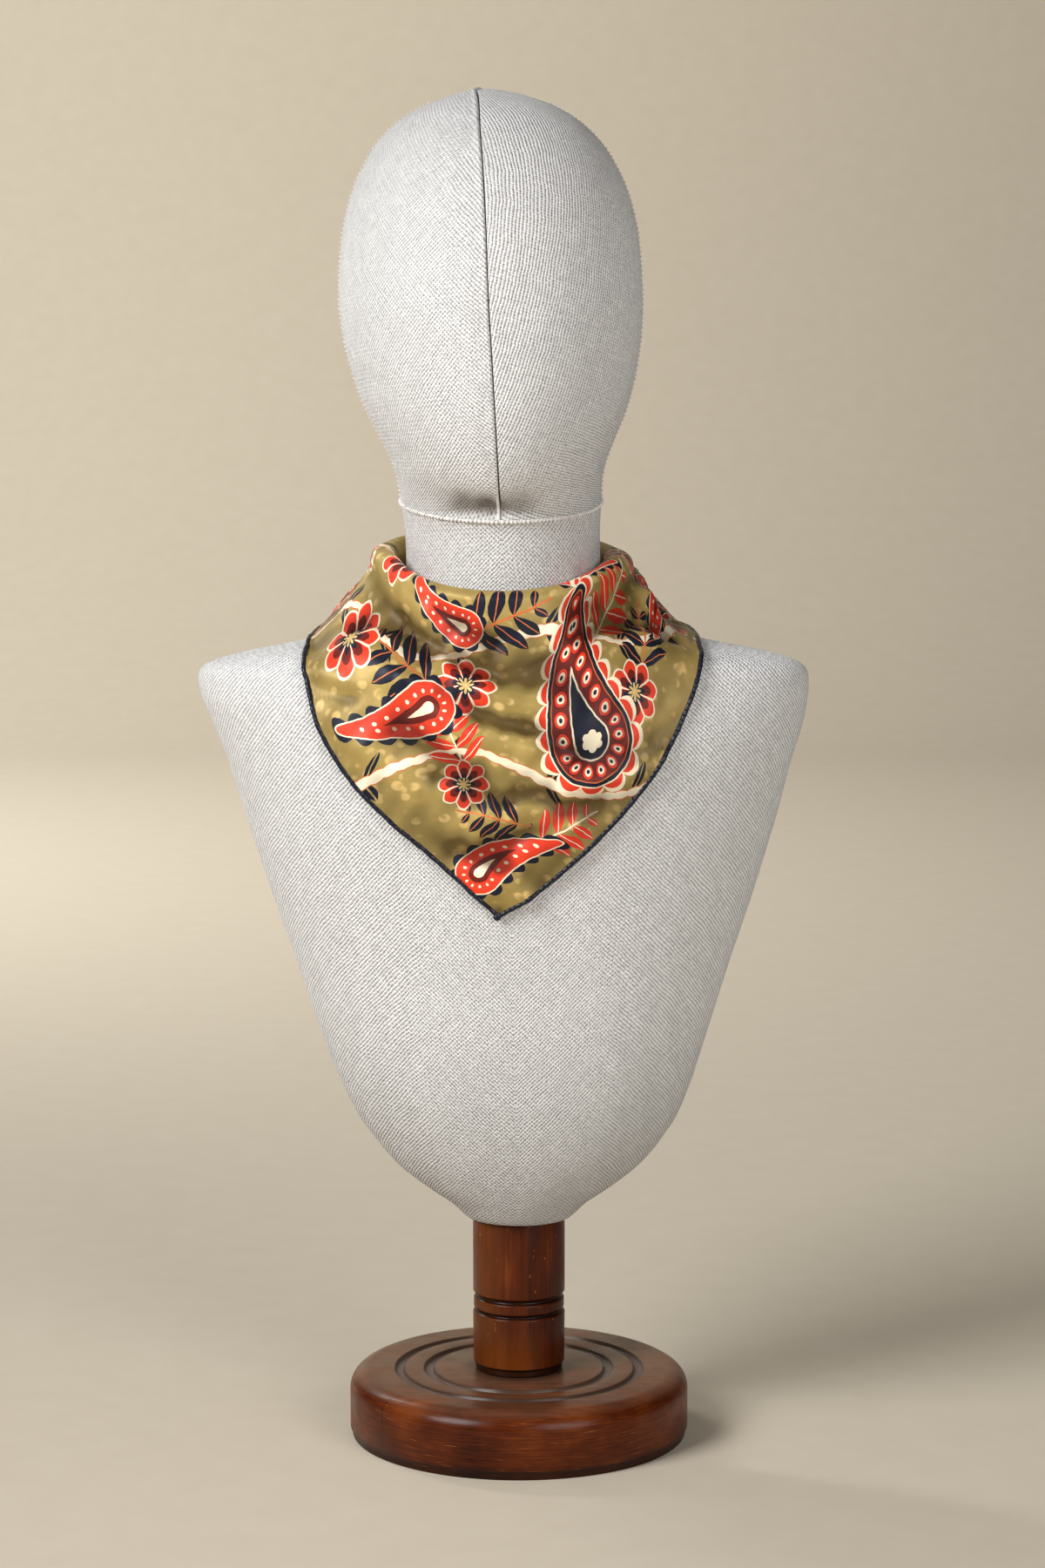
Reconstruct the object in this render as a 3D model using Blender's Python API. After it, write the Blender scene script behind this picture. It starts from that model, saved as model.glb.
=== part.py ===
"""Silk bandana scarf tied on a linen-covered display form.

The form is a limbless head and bust on a turned wooden post and base. The scarf is a 45 cm square
folded on its diagonal. Its long edge is turned down inside the neckline, the point lies on the
chest and the two ends are tied at the nape. The scarf is built as thin walls that follow that
fold, clear of the linen, so the neckline, the shoulders and the two tails are real cloth.

Metres, +Z up, the wearer's front towards -Y, the origin on the table under the stand's axis.
Directions round the neck are given in degrees: 0 is the front, 90 is +X and 180 is the nape.
"""

import bmesh
import bpy
import numpy as np

MM = 0.001

# Driving dimensions
SEAM_GAP = 0.3 * MM
BASE_RADIUS = 89.6 * MM
BASE_HEIGHT = 34.5 * MM
BASE_EDGE_RADIUS = 10.2 * MM
BASE_FOOT_CHAMFER = (1.2 * MM, 4.5 * MM)
BASE_GROOVES = ((60.6 * MM, 66.0 * MM), (44.7 * MM, 50.5 * MM))
BASE_GROOVE_DEPTH = 2.0 * MM
POST_RADIUS = 24.3 * MM
FORM_SEAT = 117.0 * MM
LINEN_WALL = 1.5 * MM
CORE_GAP = 0.4 * MM
CLOTH_WALL = 1.6 * MM
CLOTH_CLEARANCE = 3.0 * MM
TURN_IN_DEPTH = 19.0 * MM
HEM_RADIUS = 1.25 * MM
NECK_X = -7.9 * MM

# Sampling
FORM_SIDES = 24
TURNED_SIDES = 44
TUBE_SIDES = 6
TURN_STEP = 0.01
DEGREE_STEP = 0.5
SHARE_STEP = 0.004
SLOPE_STEP = 0.2 * MM
RESTING_SOFTNESS = 1.0 * MM
TUCKED_SOFTNESS = 0.1 * MM

# Turned post, bottom to top: radius and height in millimetres. Two coves leave a bead between.
POST_PROFILE = (
    (23.1, 34.8), (23.1, 38.0), (24.1, 38.8), (24.3, 65.6), (22.6, 66.6), (23.0, 67.6),
    (23.9, 68.2), (23.9, 73.2), (22.4, 74.2), (22.4, 75.4), (24.3, 76.6), (24.3, 116.7),
)

# Cross-sections of the form, bottom to top, in millimetres: height, half width, depth in front of
# the axis, depth behind it, centre in x (the form leans a little to -X), and how much lower the
# ring is in front than at the sides.
FORM_RINGS = (
    (117.0, 27.0, 27.0, 27.0, 0.0, 0.0), (120.0, 30.6, 30.2, 30.0, 0.0, 0.0),
    (126.0, 37.0, 34.5, 33.5, 0.0, 0.0), (134.0, 49.0, 39.5, 37.5, 0.0, 0.0),
    (144.0, 62.0, 44.5, 42.0, 0.0, 0.0), (153.5, 71.0, 48.5, 45.0, 0.0, 0.0),
    (163.0, 78.0, 51.5, 48.0, -0.2, 0.0), (172.0, 84.0, 54.0, 50.0, -0.6, 0.0),
    (190.0, 92.2, 58.0, 53.5, -1.5, 0.0), (217.0, 101.6, 62.5, 57.5, -2.5, 0.0),
    (254.0, 113.5, 67.5, 61.5, -3.0, 0.0), (291.0, 126.0, 72.5, 65.0, -3.4, 0.0),
    (328.0, 137.5, 77.0, 68.5, -3.9, 0.0), (356.0, 145.5, 78.5, 70.5, -4.7, 0.0),
    (378.0, 153.0, 77.0, 71.0, -5.6, 0.0), (392.0, 157.2, 73.5, 69.5, -7.2, 0.0),
    (401.0, 158.4, 70.0, 68.0, -7.9, 0.0), (406.5, 157.5, 67.5, 66.5, -8.0, 0.0),
    (410.3, 153.3, 66.0, 65.0, -7.4, 0.0), (413.0, 146.0, 65.0, 64.0, -6.6, 0.0),
    (416.0, 134.0, 63.8, 63.0, -6.4, 0.0), (419.3, 117.0, 62.6, 62.0, -6.4, 0.0),
    (422.5, 101.0, 61.6, 61.0, -6.6, 0.0), (426.0, 84.0, 60.6, 60.0, -6.9, 0.0),
    (430.0, 70.5, 59.6, 59.2, -7.2, 0.0), (435.0, 61.0, 58.6, 58.4, -7.5, 0.0),
    (441.0, 55.0, 57.6, 57.4, -7.7, 0.0), (449.0, 51.5, 56.8, 56.6, -7.8, 0.0),
    (458.0, 50.4, 56.2, 56.2, -7.9, 0.0), (470.0, 50.2, 56.0, 56.0, -8.2, 0.0),
    (482.0, 50.6, 56.3, 56.3, -8.6, 3.0), (494.0, 51.7, 58.5, 58.0, -9.1, 8.0),
    (498.0, 52.0, 62.5, 59.5, -9.3, 7.5), (503.0, 52.4, 67.5, 62.5, -9.6, 6.5),
    (509.5, 53.6, 74.0, 68.5, -9.9, 5.5), (518.0, 56.4, 80.5, 77.0, -10.3, 4.5),
    (528.5, 61.2, 86.0, 86.0, -10.9, 3.0), (541.0, 66.9, 90.0, 94.0, -11.6, 2.0),
    (555.0, 71.6, 92.5, 99.5, -12.4, 1.0), (572.0, 75.4, 94.0, 103.0, -13.3, 0.0),
    (592.0, 77.7, 94.5, 104.0, -14.2, 0.0), (612.0, 77.3, 93.5, 103.0, -14.5, 0.0),
    (632.0, 75.3, 90.0, 99.5, -14.5, 0.0), (650.0, 70.9, 83.5, 92.5, -14.6, 0.0),
    (665.0, 64.3, 74.5, 82.5, -14.7, 0.0), (677.0, 56.5, 64.5, 71.0, -15.0, 0.0),
    (687.0, 46.0, 52.5, 57.5, -15.0, 0.0), (694.5, 33.5, 38.0, 41.5, -15.0, 0.0),
    (699.8, 19.0, 21.5, 23.0, -15.5, 0.0), (702.6, 7.5, 8.5, 9.0, -17.0, 0.0),
    (703.3, 0.0, 0.0, 0.0, -18.0, 0.0),
)
NECK_SEAM_HEIGHT = 435.0
CHIN_SEAM_HEIGHT = 494.0
SHOULDER_HEIGHT = 401.0
TORSO_ROWS = 8
SHOULDER_ROWS = 9
NECK_ROWS = 6
HEAD_ROWS = 13
CROWN_RADIUS_SHARE = 0.6

# Ribs of the scarf, from the fold round the neck to the hem. Crest direction in degrees, height of
# the crest, how far the rolled fold stands off the neck, the roll's radius, then the rib's foot on
# the hem: its direction in degrees, distance from the neck's axis and height, in millimetres.
SCARF_RIBS = (
    (-167.0, 478.0, 2.5, 6.0, -167.0, 69.0, 454.0), (-150.0, 478.0, 3.5, 6.0, -146.0, 75.5, 446.0),
    (-132.0, 477.5, 4.5, 6.0, -126.0, 83.5, 437.5), (-112.0, 476.0, 5.0, 6.0, -103.0, 93.5, 429.5),
    (-92.0, 473.5, 5.0, 6.0, -80.0, 99.0, 425.0), (-80.0, 470.5, 4.8, 6.0, -68.0, 107.0, 419.5),
    (-70.0, 467.0, 4.0, 6.0, -60.3, 112.4, 407.0), (-60.0, 463.0, 3.0, 5.9, -54.5, 110.2, 381.0),
    (-50.0, 459.5, 2.0, 5.8, -47.0, 101.5, 357.0), (-38.0, 456.0, 1.2, 5.6, -37.5, 92.0, 338.5),
    (-25.0, 453.5, 0.8, 5.4, -27.0, 84.5, 324.0), (-12.0, 452.0, 0.6, 5.2, -15.0, 78.5, 308.0),
    (0.0, 451.5, 0.6, 5.2, -1.6, 74.9, 290.9),
    (12.0, 452.2, 0.6, 5.3, 11.0, 77.5, 301.5), (25.0, 454.0, 0.7, 5.5, 22.0, 82.5, 315.0),
    (38.0, 457.0, 0.9, 5.9, 33.0, 90.2, 332.0), (50.0, 460.3, 1.0, 6.3, 42.5, 99.0, 352.0),
    (60.0, 463.0, 1.2, 6.7, 50.0, 106.8, 374.0), (70.0, 466.0, 1.3, 7.0, 57.0, 111.0, 398.5),
    (80.0, 468.5, 1.3, 7.2, 65.5, 108.5, 418.5), (92.0, 470.5, 1.5, 7.2, 78.0, 100.0, 425.0),
    (112.0, 473.0, 2.0, 7.0, 102.0, 94.5, 428.5), (132.0, 475.5, 2.5, 6.6, 126.0, 84.0, 437.0),
    (150.0, 477.5, 3.0, 6.2, 146.0, 76.0, 446.0), (167.0, 478.0, 2.5, 6.0, 167.0, 69.0, 454.0),
)
TIP_RIB = 12
ROLL_SHARE = 0.09
FALL_HANDLES = (0.35, 0.35, 0.22)
SIDE_JOIN = 72.0
SCARF_END = 167.0
HEM_TIP_CUT = 1.0
CREST_REACH = 65.0 * MM
CREST_ARC = 9.5 * MM
FRONT_RIBS = 16
SIDE_RIBS = 13
ROLL_ROWS = 4
FALL_ROWS = 11
TURN_IN_MIDDLE = -0.55

# Main folds of the fall, in millimetres: start and end of each fold line as (direction in degrees,
# height), its half width, and how far the cloth stands out (+) or sinks in (-).
SCARF_FOLDS = (
    (-62.0, 452.0, -28.0, 424.0, 8.0, -3.0), (-66.0, 432.0, -30.0, 390.0, 11.0, 3.0),
    (-24.0, 444.0, -6.0, 424.0, 8.0, -2.4), (-25.0, 412.0, -10.0, 400.0, 8.0, 2.4),
    (-12.0, 378.0, 24.0, 362.0, 10.0, -2.6), (20.0, 430.0, 48.0, 396.0, 10.0, 2.2),
    (30.0, 352.0, 44.0, 366.0, 8.0, 2.4), (62.0, 455.0, 56.0, 412.0, 6.0, 2.8),
    (110.0, 466.0, 100.0, 436.0, 8.0, 2.4), (-112.0, 468.0, -100.0, 438.0, 8.0, 2.4),
    (140.0, 468.0, 132.0, 446.0, 6.0, -2.0), (-142.0, 468.0, -134.0, 446.0, 6.0, -2.0),
)
FOLD_PLANE_RADIUS = 85.0 * MM
FOLD_FADE = 0.15

# Knot at the nape and the two tails below it
KNOT_CENTRE = (NECK_X, 69.5 * MM, 464.0 * MM)
KNOT_RADII = (15.7 * MM, 11.0 * MM, 13.0 * MM)
KNOT_WAIST_DEPTH = 0.10
KNOT_WAIST_WIDTH = 0.22
KNOT_WAIST_SLANT = 0.35
TAIL_TOP = 451.0 * MM
TAIL_DROP = 80.0 * MM
TAIL_START = 5.5 * MM
TAIL_SPREAD = 30.0 * MM
TAIL_SWAY = 1.2
TAIL_STANDOFF = (1.6 * MM, 12.5 * MM)
# Share of the tail's length and half its width in millimetres
TAIL_WIDTHS = ((0.0, 4.0), (0.25, 8.5), (0.55, 14.5), (0.78, 12.5), (1.0, 0.8))

LINEN = ("linen", (0.62, 0.61, 0.58, 1.0), 0.9)
SILK = ("olive_gold_silk", (0.30, 0.23, 0.09, 1.0), 0.32)
HEM_SILK = ("navy_hem", (0.012, 0.014, 0.035, 1.0), 0.45)
WOOD = ("lacquered_wood", (0.16, 0.045, 0.015, 1.0), 0.3)
CORE = ("moulded_core", (0.45, 0.40, 0.33, 1.0), 0.95)


def clear_scene():
    """Remove every object, so that the part starts from nothing."""
    for item in list(bpy.data.objects):
        bpy.data.objects.remove(item, do_unlink=True)


def principled(name, colour, roughness):
    """A Principled material with one colour and roughness, made once and then shared."""
    if name in bpy.data.materials:
        return bpy.data.materials[name]
    material = bpy.data.materials.new(name)
    material.use_nodes = True
    shader = material.node_tree.nodes["Principled BSDF"]
    shader.inputs["Base Color"].default_value = colour
    shader.inputs["Roughness"].default_value = roughness
    shader.inputs["Metallic"].default_value = 0.0
    material.diffuse_color = colour
    return material


def add_body(name, bm, finish, sharp_degrees=40.0):
    """Turn a closed bmesh into a smooth-shaded object whose faces point outwards."""
    bmesh.ops.recalc_face_normals(bm, faces=bm.faces)
    mesh = bpy.data.meshes.new(name)
    bm.to_mesh(mesh)
    bm.free()
    mesh.materials.append(principled(*finish))
    mesh.shade_smooth()
    mesh.set_sharp_from_angle(angle=np.radians(sharp_degrees))
    body = bpy.data.objects.new(name, mesh)
    bpy.context.scene.collection.objects.link(body)
    return body


def smooth_rows(table, places):
    """Catmull-Rom curve through the rows of a table; place 0 is the first row, 1 the second."""
    rows = np.asarray(table, dtype=float)
    rows = np.vstack((2 * rows[0] - rows[1], rows, 2 * rows[-1] - rows[-2]))
    places = np.asarray(places, dtype=float)
    first = np.clip(np.floor(places).astype(int), 0, len(rows) - 4)
    share = (places - first)[..., None]
    before, start, end, after = (rows[first + step] for step in range(4))
    straight = (end - before) * share
    bend = (2 * before - 5 * start + 4 * end - after) * share ** 2
    twist = (3 * start - before - 3 * end + after) * share ** 3
    return 0.5 * (2 * start + straight + bend + twist)


def place_of_height(height):
    """Row number of a height in FORM_RINGS, in millimetres."""
    heights = [ring[0] for ring in FORM_RINGS]
    return float(np.interp(height, heights, range(len(heights))))


def form_point(turn, place):
    """Point on the linen's outer face: turn is 0 at the front, in radians round the ring."""
    height, half_width, front, back, centre, tilt = np.moveaxis(smooth_rows(FORM_RINGS, place), -1, 0)
    depth = np.where(np.cos(turn) > 0, front, back)
    x = centre + half_width * np.sin(turn)
    y = -depth * np.cos(turn)
    z = height - tilt * np.cos(turn)
    return np.stack((x, y, z), axis=-1) * MM


def unit(vectors):
    """Vectors scaled to length one."""
    return vectors / np.linalg.norm(vectors, axis=-1, keepdims=True)


def form_layer(turn, place, depth):
    """Points a given depth under the linen's outer face, along the surface normal."""
    turn, place = np.broadcast_arrays(turn, place)
    low = place - TURN_STEP
    across = form_point(turn + TURN_STEP, low) - form_point(turn - TURN_STEP, low)
    along = form_point(turn, low + TURN_STEP) - form_point(turn, low - TURN_STEP)
    return form_point(turn, place) - depth * unit(np.cross(across, along))


def wall(name, outer, inner, finish, closed_ring=False):
    """Closed wall between two grids of points with the same rows and columns."""
    rows, columns = outer.shape[:2]
    bm = bmesh.new()
    sides = []
    for layer in (outer, inner):
        sides.append([[bm.verts.new(point) for point in row] for row in layer])
    spans = columns if closed_ring else columns - 1
    for layer in sides:
        for i in range(rows - 1):
            for j in range(spans):
                k = (j + 1) % columns
                bm.faces.new((layer[i][j], layer[i][k], layer[i + 1][k], layer[i + 1][j]))
    face, back = sides
    for i in (0, rows - 1):
        for j in range(spans):
            k = (j + 1) % columns
            bm.faces.new((face[i][j], face[i][k], back[i][k], back[i][j]))
    if not closed_ring:
        for j in (0, columns - 1):
            for i in range(rows - 1):
                bm.faces.new((face[i][j], face[i + 1][j], back[i + 1][j], back[i][j]))
    return add_body(name, bm, finish)


def loft(name, rings, finish, pole=None):
    """Solid through closed rings of points, capped at the start and closed at a pole or a cap."""
    bm = bmesh.new()
    loops = [[bm.verts.new(point) for point in ring] for ring in rings]
    count = len(loops[0])
    for low, high in zip(loops, loops[1:]):
        for j in range(count):
            k = (j + 1) % count
            bm.faces.new((low[j], low[k], high[k], high[j]))
    bm.faces.new(loops[0])
    if pole is None:
        bm.faces.new(loops[-1])
    else:
        tip = bm.verts.new(pole)
        for j in range(count):
            bm.faces.new((loops[-1][j], loops[-1][(j + 1) % count], tip))
    return add_body(name, bm, finish)


def turned(name, profile, finish):
    """Solid turned about the Z axis from a profile of (radius, height) points, bottom to top."""
    turns = np.arange(TURNED_SIDES) * 2 * np.pi / TURNED_SIDES
    circle = np.stack((np.cos(turns), np.sin(turns), np.zeros_like(turns)), axis=-1)
    rings = [circle * radius + np.array((0.0, 0.0, height)) for radius, height in profile]
    body = loft(name, rings, finish)
    body.data.set_sharp_from_angle(angle=np.radians(30))
    return body


def base_profile():
    """Profile of the base: chamfered foot, upright side, rounded edge and two flat grooves."""
    foot_in, foot_up = BASE_FOOT_CHAMFER
    points = [(BASE_RADIUS - foot_in, 0.0), (BASE_RADIUS, foot_up)]
    for turn in np.radians((0.0, 22.5, 45.0, 67.5, 90.0)):
        radius = BASE_RADIUS - BASE_EDGE_RADIUS * (1 - np.cos(turn))
        points.append((radius, BASE_HEIGHT - BASE_EDGE_RADIUS * (1 - np.sin(turn))))
    floor = BASE_HEIGHT - BASE_GROOVE_DEPTH
    slope = 0.8 * MM
    for inner, outer in BASE_GROOVES:
        points += [(outer, BASE_HEIGHT), (outer - slope, floor)]
        points += [(inner + slope, floor), (inner, BASE_HEIGHT)]
    return points


def build_stand():
    """The turned base and the turned post that carries the form."""
    turned("base", base_profile(), WOOD)
    turned("post", [(radius * MM, height * MM) for radius, height in POST_PROFILE], WOOD)


def form_rows():
    """Places of the torso's, the neck's and the head's rows in FORM_RINGS."""
    shoulder = place_of_height(SHOULDER_HEIGHT)
    neck_seam = place_of_height(NECK_SEAM_HEIGHT)
    chin_seam = place_of_height(CHIN_SEAM_HEIGHT)
    crown = len(FORM_RINGS) - 1 - CROWN_RADIUS_SHARE
    torso = np.linspace(0.0, shoulder, TORSO_ROWS + 1)
    torso = np.concatenate((torso, np.linspace(shoulder, neck_seam, SHOULDER_ROWS + 1)[1:]))
    neck = np.linspace(neck_seam, chin_seam, NECK_ROWS + 1)
    head = np.linspace(chin_seam, crown, HEAD_ROWS + 1)
    return torso, neck, head


def build_core():
    """The moulded core under the linen: torso, neck and head in one."""
    torso, neck, head = form_rows()
    places = np.concatenate((torso, neck[1:], head[1:]))
    turns = np.arange(FORM_SIDES) * 2 * np.pi / FORM_SIDES
    depth = LINEN_WALL + CORE_GAP
    rings = form_layer(turns[None, :], places[:, None], depth)
    seat = np.stack((np.sin(turns), -np.cos(turns), np.zeros_like(turns)), axis=-1) * POST_RADIUS
    seat[:, 2] = FORM_SEAT
    rings = np.concatenate((seat[None], rings))
    pole = form_point(np.zeros(1), np.full(1, len(FORM_RINGS) - 1.0))[0] - (0.0, 0.0, depth)
    loft("form_core", rings, CORE, pole)


def linen_panel(name, start_degrees, end_degrees, places):
    """One cut piece of linen: a patch of the form between two seams and two rows."""
    columns = round((end_degrees - start_degrees) * FORM_SIDES / 360)
    turns, rows = np.meshgrid(np.radians(np.linspace(start_degrees, end_degrees, columns + 1)), places)
    here = form_point(turns, rows)
    speed_round = np.linalg.norm(form_point(turns + TURN_STEP, rows) - here, axis=-1) / TURN_STEP
    speed_up = np.linalg.norm(here - form_point(turns, rows - TURN_STEP), axis=-1) / TURN_STEP
    half_gap = SEAM_GAP / 2
    closed_ring = end_degrees - start_degrees == 360
    if not closed_ring:
        turns[:, 0] += half_gap / speed_round[:, 0]
        turns[:, -1] -= half_gap / speed_round[:, -1]
    rows[0] += half_gap / speed_up[0]
    rows[-1] -= half_gap / speed_up[-1]
    if closed_ring:
        turns, rows = turns[:, :-1], rows[:, :-1]
    outer = form_layer(turns, rows, 0.0)
    inner = form_layer(turns, rows, LINEN_WALL)
    wall(name, outer, inner, LINEN, closed_ring)


def build_linen():
    """The form's cover: four head panels, a neck band, and a front and a back torso panel."""
    torso, neck, head = form_rows()
    linen_panel("torso_front", -90, 90, torso)
    linen_panel("torso_back", 90, 270, torso)
    linen_panel("neck_band", 0, 360, neck)
    linen_panel("head_front_left", -90, 0, head)
    linen_panel("head_front_right", 0, 90, head)
    linen_panel("head_back_right", 90, 180, head)
    linen_panel("head_back_left", 180, 270, head)


def form_sections():
    """Heights of the form and its half width, front and back depth and centre, densely sampled."""
    places = np.linspace(0.0, len(FORM_RINGS) - 1.0, 1500)
    return smooth_rows(FORM_RINGS, places)[:, :5].T * MM


FORM_SECTIONS = form_sections()


def form_level(points):
    """Below 0 inside the form, 0 on the linen's face and above 0 outside it."""
    heights, *columns = FORM_SECTIONS
    half_width, front, back, centre = (np.interp(points[..., 2], heights, c) for c in columns)
    depth = np.where(points[..., 1] < 0, front, back)
    return np.hypot((points[..., 0] - centre) / half_width, points[..., 1] / depth) - 1


def clear_of_form(points, clearance, softness):
    """Points moved out along the form's normal until they stand at least the clearance off it."""
    for _ in range(3):
        slope = []
        for axis in np.eye(3) * SLOPE_STEP:
            slope.append((form_level(points + axis) - form_level(points - axis)) / (2 * SLOPE_STEP))
        slope = np.stack(slope, axis=-1)
        steepness = np.linalg.norm(slope, axis=-1)
        distance = form_level(points) / steepness
        push = softness * np.logaddexp(0.0, (clearance - distance) / softness) - softness * np.log(2)
        points = points + (slope / steepness[..., None]) * np.maximum(push, 0.0)[..., None]
    return points


def rib_values(crest_degrees):
    """The seven values of SCARF_RIBS at any crest direction; the hem keeps its corner at the tip."""
    ribs = np.asarray(SCARF_RIBS)
    left = ribs[:TIP_RIB + 1]
    right = ribs[TIP_RIB:]
    left_place = np.interp(crest_degrees, left[:, 0], np.arange(len(left)))
    right_place = np.interp(crest_degrees, right[:, 0], np.arange(len(right)))
    on_left = (np.asarray(crest_degrees) < 0)[..., None]
    values = np.where(on_left, smooth_rows(left, left_place), smooth_rows(right, right_place))
    return np.moveaxis(values, -1, 0)


def neck_reach(degrees, height):
    """Distance from the neck's axis to the linen in a direction, at a height in metres."""
    heights, half_widths, fronts, backs, _ = FORM_SECTIONS
    turn = np.radians(degrees)
    depth = np.where(np.cos(turn) > 0, np.interp(height, heights, fronts), np.interp(height, heights, backs))
    half_width = np.interp(height, heights, half_widths)
    return 1 / np.hypot(np.sin(turn) / half_width, np.cos(turn) / depth)


def around_neck(degrees, reach, height):
    """Point in space from a direction, a distance from the neck's axis and a height."""
    turn = np.radians(degrees)
    return np.stack((NECK_X + reach * np.sin(turn), -reach * np.cos(turn), height), axis=-1)


def fold_depth(points):
    """How far the folds lift the cloth: a soft ridge or trough along each line of SCARF_FOLDS."""
    degrees = np.degrees(np.arctan2(points[..., 0] - NECK_X, -points[..., 1]))
    flat = np.stack((np.radians(degrees) * FOLD_PLANE_RADIUS, points[..., 2]), axis=-1)
    lift = np.zeros(points.shape[:-1])
    for start_turn, start_height, end_turn, end_height, half_width, height in SCARF_FOLDS:
        start = np.array((np.radians(start_turn) * FOLD_PLANE_RADIUS, start_height * MM))
        end = np.array((np.radians(end_turn) * FOLD_PLANE_RADIUS, end_height * MM))
        line = end - start
        share = ((flat - start) @ line) / (line @ line)
        nearest = start + np.clip(share, 0.0, 1.0)[..., None] * line
        distance = np.linalg.norm(flat - nearest, axis=-1) / (half_width * MM)
        lift += height * MM * np.exp(-distance ** 2)
    return lift


def scarf_rib_point(crest_degrees, share):
    """Middle of the cloth: share -1 is the turned-in edge, 0 the crest and 1 the hem."""
    crest_degrees, share = np.broadcast_arrays(crest_degrees, share)
    crest_turn, crest, gap, roll, foot_turn, foot_reach, foot = rib_values(crest_degrees)
    crest, gap, roll, foot_reach, foot = (value * MM for value in (crest, gap, roll, foot_reach, foot))
    axis_height = crest - roll
    axis_reach = neck_reach(crest_turn, axis_height) + gap + CLOTH_WALL / 2 + roll
    roll_turn = np.clip(share / ROLL_SHARE, -1.0, 1.0) * np.pi / 2
    roll_reach = axis_reach + roll * np.sin(roll_turn)
    roll_height = axis_height + roll * np.cos(roll_turn)
    down_inside = np.clip((-share - ROLL_SHARE) / (1 - ROLL_SHARE), 0.0, 1.0)
    inner_height = roll_height - down_inside * TURN_IN_DEPTH
    inner_reach = roll_reach + neck_reach(crest_turn, inner_height) - neck_reach(crest_turn, axis_height)
    fall = np.clip((share - ROLL_SHARE) / (1 - ROLL_SHARE), 0.0, 1.0)
    top_reach = axis_reach + roll
    drop = axis_height - foot
    spread = foot_reach - top_reach
    hang, lean, rise = FALL_HANDLES
    handles = (
        (top_reach, axis_height), (top_reach, axis_height - hang * drop),
        (foot_reach - lean * spread, foot + rise * drop), (foot_reach, foot),
    )
    weights = ((1 - fall) ** 3, 3 * fall * (1 - fall) ** 2, 3 * fall ** 2 * (1 - fall), fall ** 3)
    fall_reach = sum(weight * handle[0] for weight, handle in zip(weights, handles))
    fall_height = sum(weight * handle[1] for weight, handle in zip(weights, handles))
    falling = share > ROLL_SHARE
    reach = np.where(falling, fall_reach, np.where(share < 0, inner_reach, roll_reach))
    height = np.where(falling, fall_height, np.where(share < 0, inner_height, roll_height))
    degrees = crest_turn + (foot_turn - crest_turn) * fall
    return around_neck(degrees, reach, height)


def scarf_normal(surface, crest_degrees, share):
    """Unit normal on the cloth's face side, from the surface's own slopes."""
    share = np.clip(share, SHARE_STEP - 1, 1 - SHARE_STEP)
    crest_degrees = np.clip(crest_degrees, DEGREE_STEP - SCARF_END, SCARF_END - DEGREE_STEP)
    down = surface(crest_degrees, share + SHARE_STEP) - surface(crest_degrees, share - SHARE_STEP)
    across = surface(crest_degrees + DEGREE_STEP, share) - surface(crest_degrees - DEGREE_STEP, share)
    return unit(np.cross(down, across))


def scarf_middle(crest_degrees, share):
    """Middle of the cloth with its folds, resting clear of the form below the crest."""
    points = scarf_rib_point(crest_degrees, share)
    normal = scarf_normal(scarf_rib_point, crest_degrees, share)
    fade = np.clip((share - ROLL_SHARE) / FOLD_FADE, 0.0, 1.0)
    folded = points + normal * (fold_depth(points) * fade)[..., None]
    rested = clear_of_form(folded, CLOTH_CLEARANCE, RESTING_SOFTNESS)
    tucked = clear_of_form(points, CLOTH_WALL / 2 + 2 * SEAM_GAP, TUCKED_SOFTNESS)
    blend = np.clip(share / ROLL_SHARE, 0.0, 1.0)[..., None]
    return tucked + (rested - tucked) * blend


def scarf_wall(name, degrees, shares):
    """One stretch of the scarf: a wall between two ribs and two lines along the fold."""
    crest_degrees, share = np.meshgrid(degrees, shares)
    middle = scarf_middle(crest_degrees, share)
    half = scarf_normal(scarf_middle, crest_degrees, share) * CLOTH_WALL / 2
    wall(name, middle + half, middle - half, SILK)


def rib_directions():
    """Crest directions of the built ribs on one side: from the front to the join, then to the end."""
    return np.linspace(0.0, SIDE_JOIN, FRONT_RIBS), np.linspace(SIDE_JOIN, SCARF_END, SIDE_RIBS)


def build_scarf_fall():
    """The scarf round the neck: front, the two shoulder stretches, and the turned-in edge."""
    half_seam = np.degrees(SEAM_GAP / 2 / CREST_REACH)
    crest_cut = SEAM_GAP / 2 / CREST_ARC * ROLL_SHARE
    roll = np.linspace(0.0, ROLL_SHARE, ROLL_ROWS)
    outside = np.concatenate(([crest_cut], roll[1:], np.linspace(ROLL_SHARE, 1.0, FALL_ROWS)[1:]))
    inside = np.array((-1.0, TURN_IN_MIDDLE, -ROLL_SHARE, -ROLL_SHARE / 2, -crest_cut))
    near, far = rib_directions()
    whole = np.concatenate((-far[:0:-1], -near[:0:-1], near, far[1:]))
    scarf_wall("scarf_turn_in", whole, inside)
    front = np.concatenate((-near[:0:-1], near))
    front[0] += half_seam
    front[-1] -= half_seam
    scarf_wall("scarf_front", front, outside)
    far[0] += half_seam
    scarf_wall("scarf_shoulder_right", far, outside)
    scarf_wall("scarf_shoulder_left", -far[::-1], outside)


def tube(name, path, faces, radius, finish):
    """Round tube along a path of points, with flat ends; faces is a direction across the path."""
    ahead = unit(np.gradient(path, axis=0))
    level = unit(np.cross(ahead, faces))
    upright = np.cross(level, ahead)
    turns = np.arange(TUBE_SIDES)[None, :, None] * 2 * np.pi / TUBE_SIDES
    rings = path[:, None] + radius * (level[:, None] * np.cos(turns) + upright[:, None] * np.sin(turns))
    loft(name, rings, finish)


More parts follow.
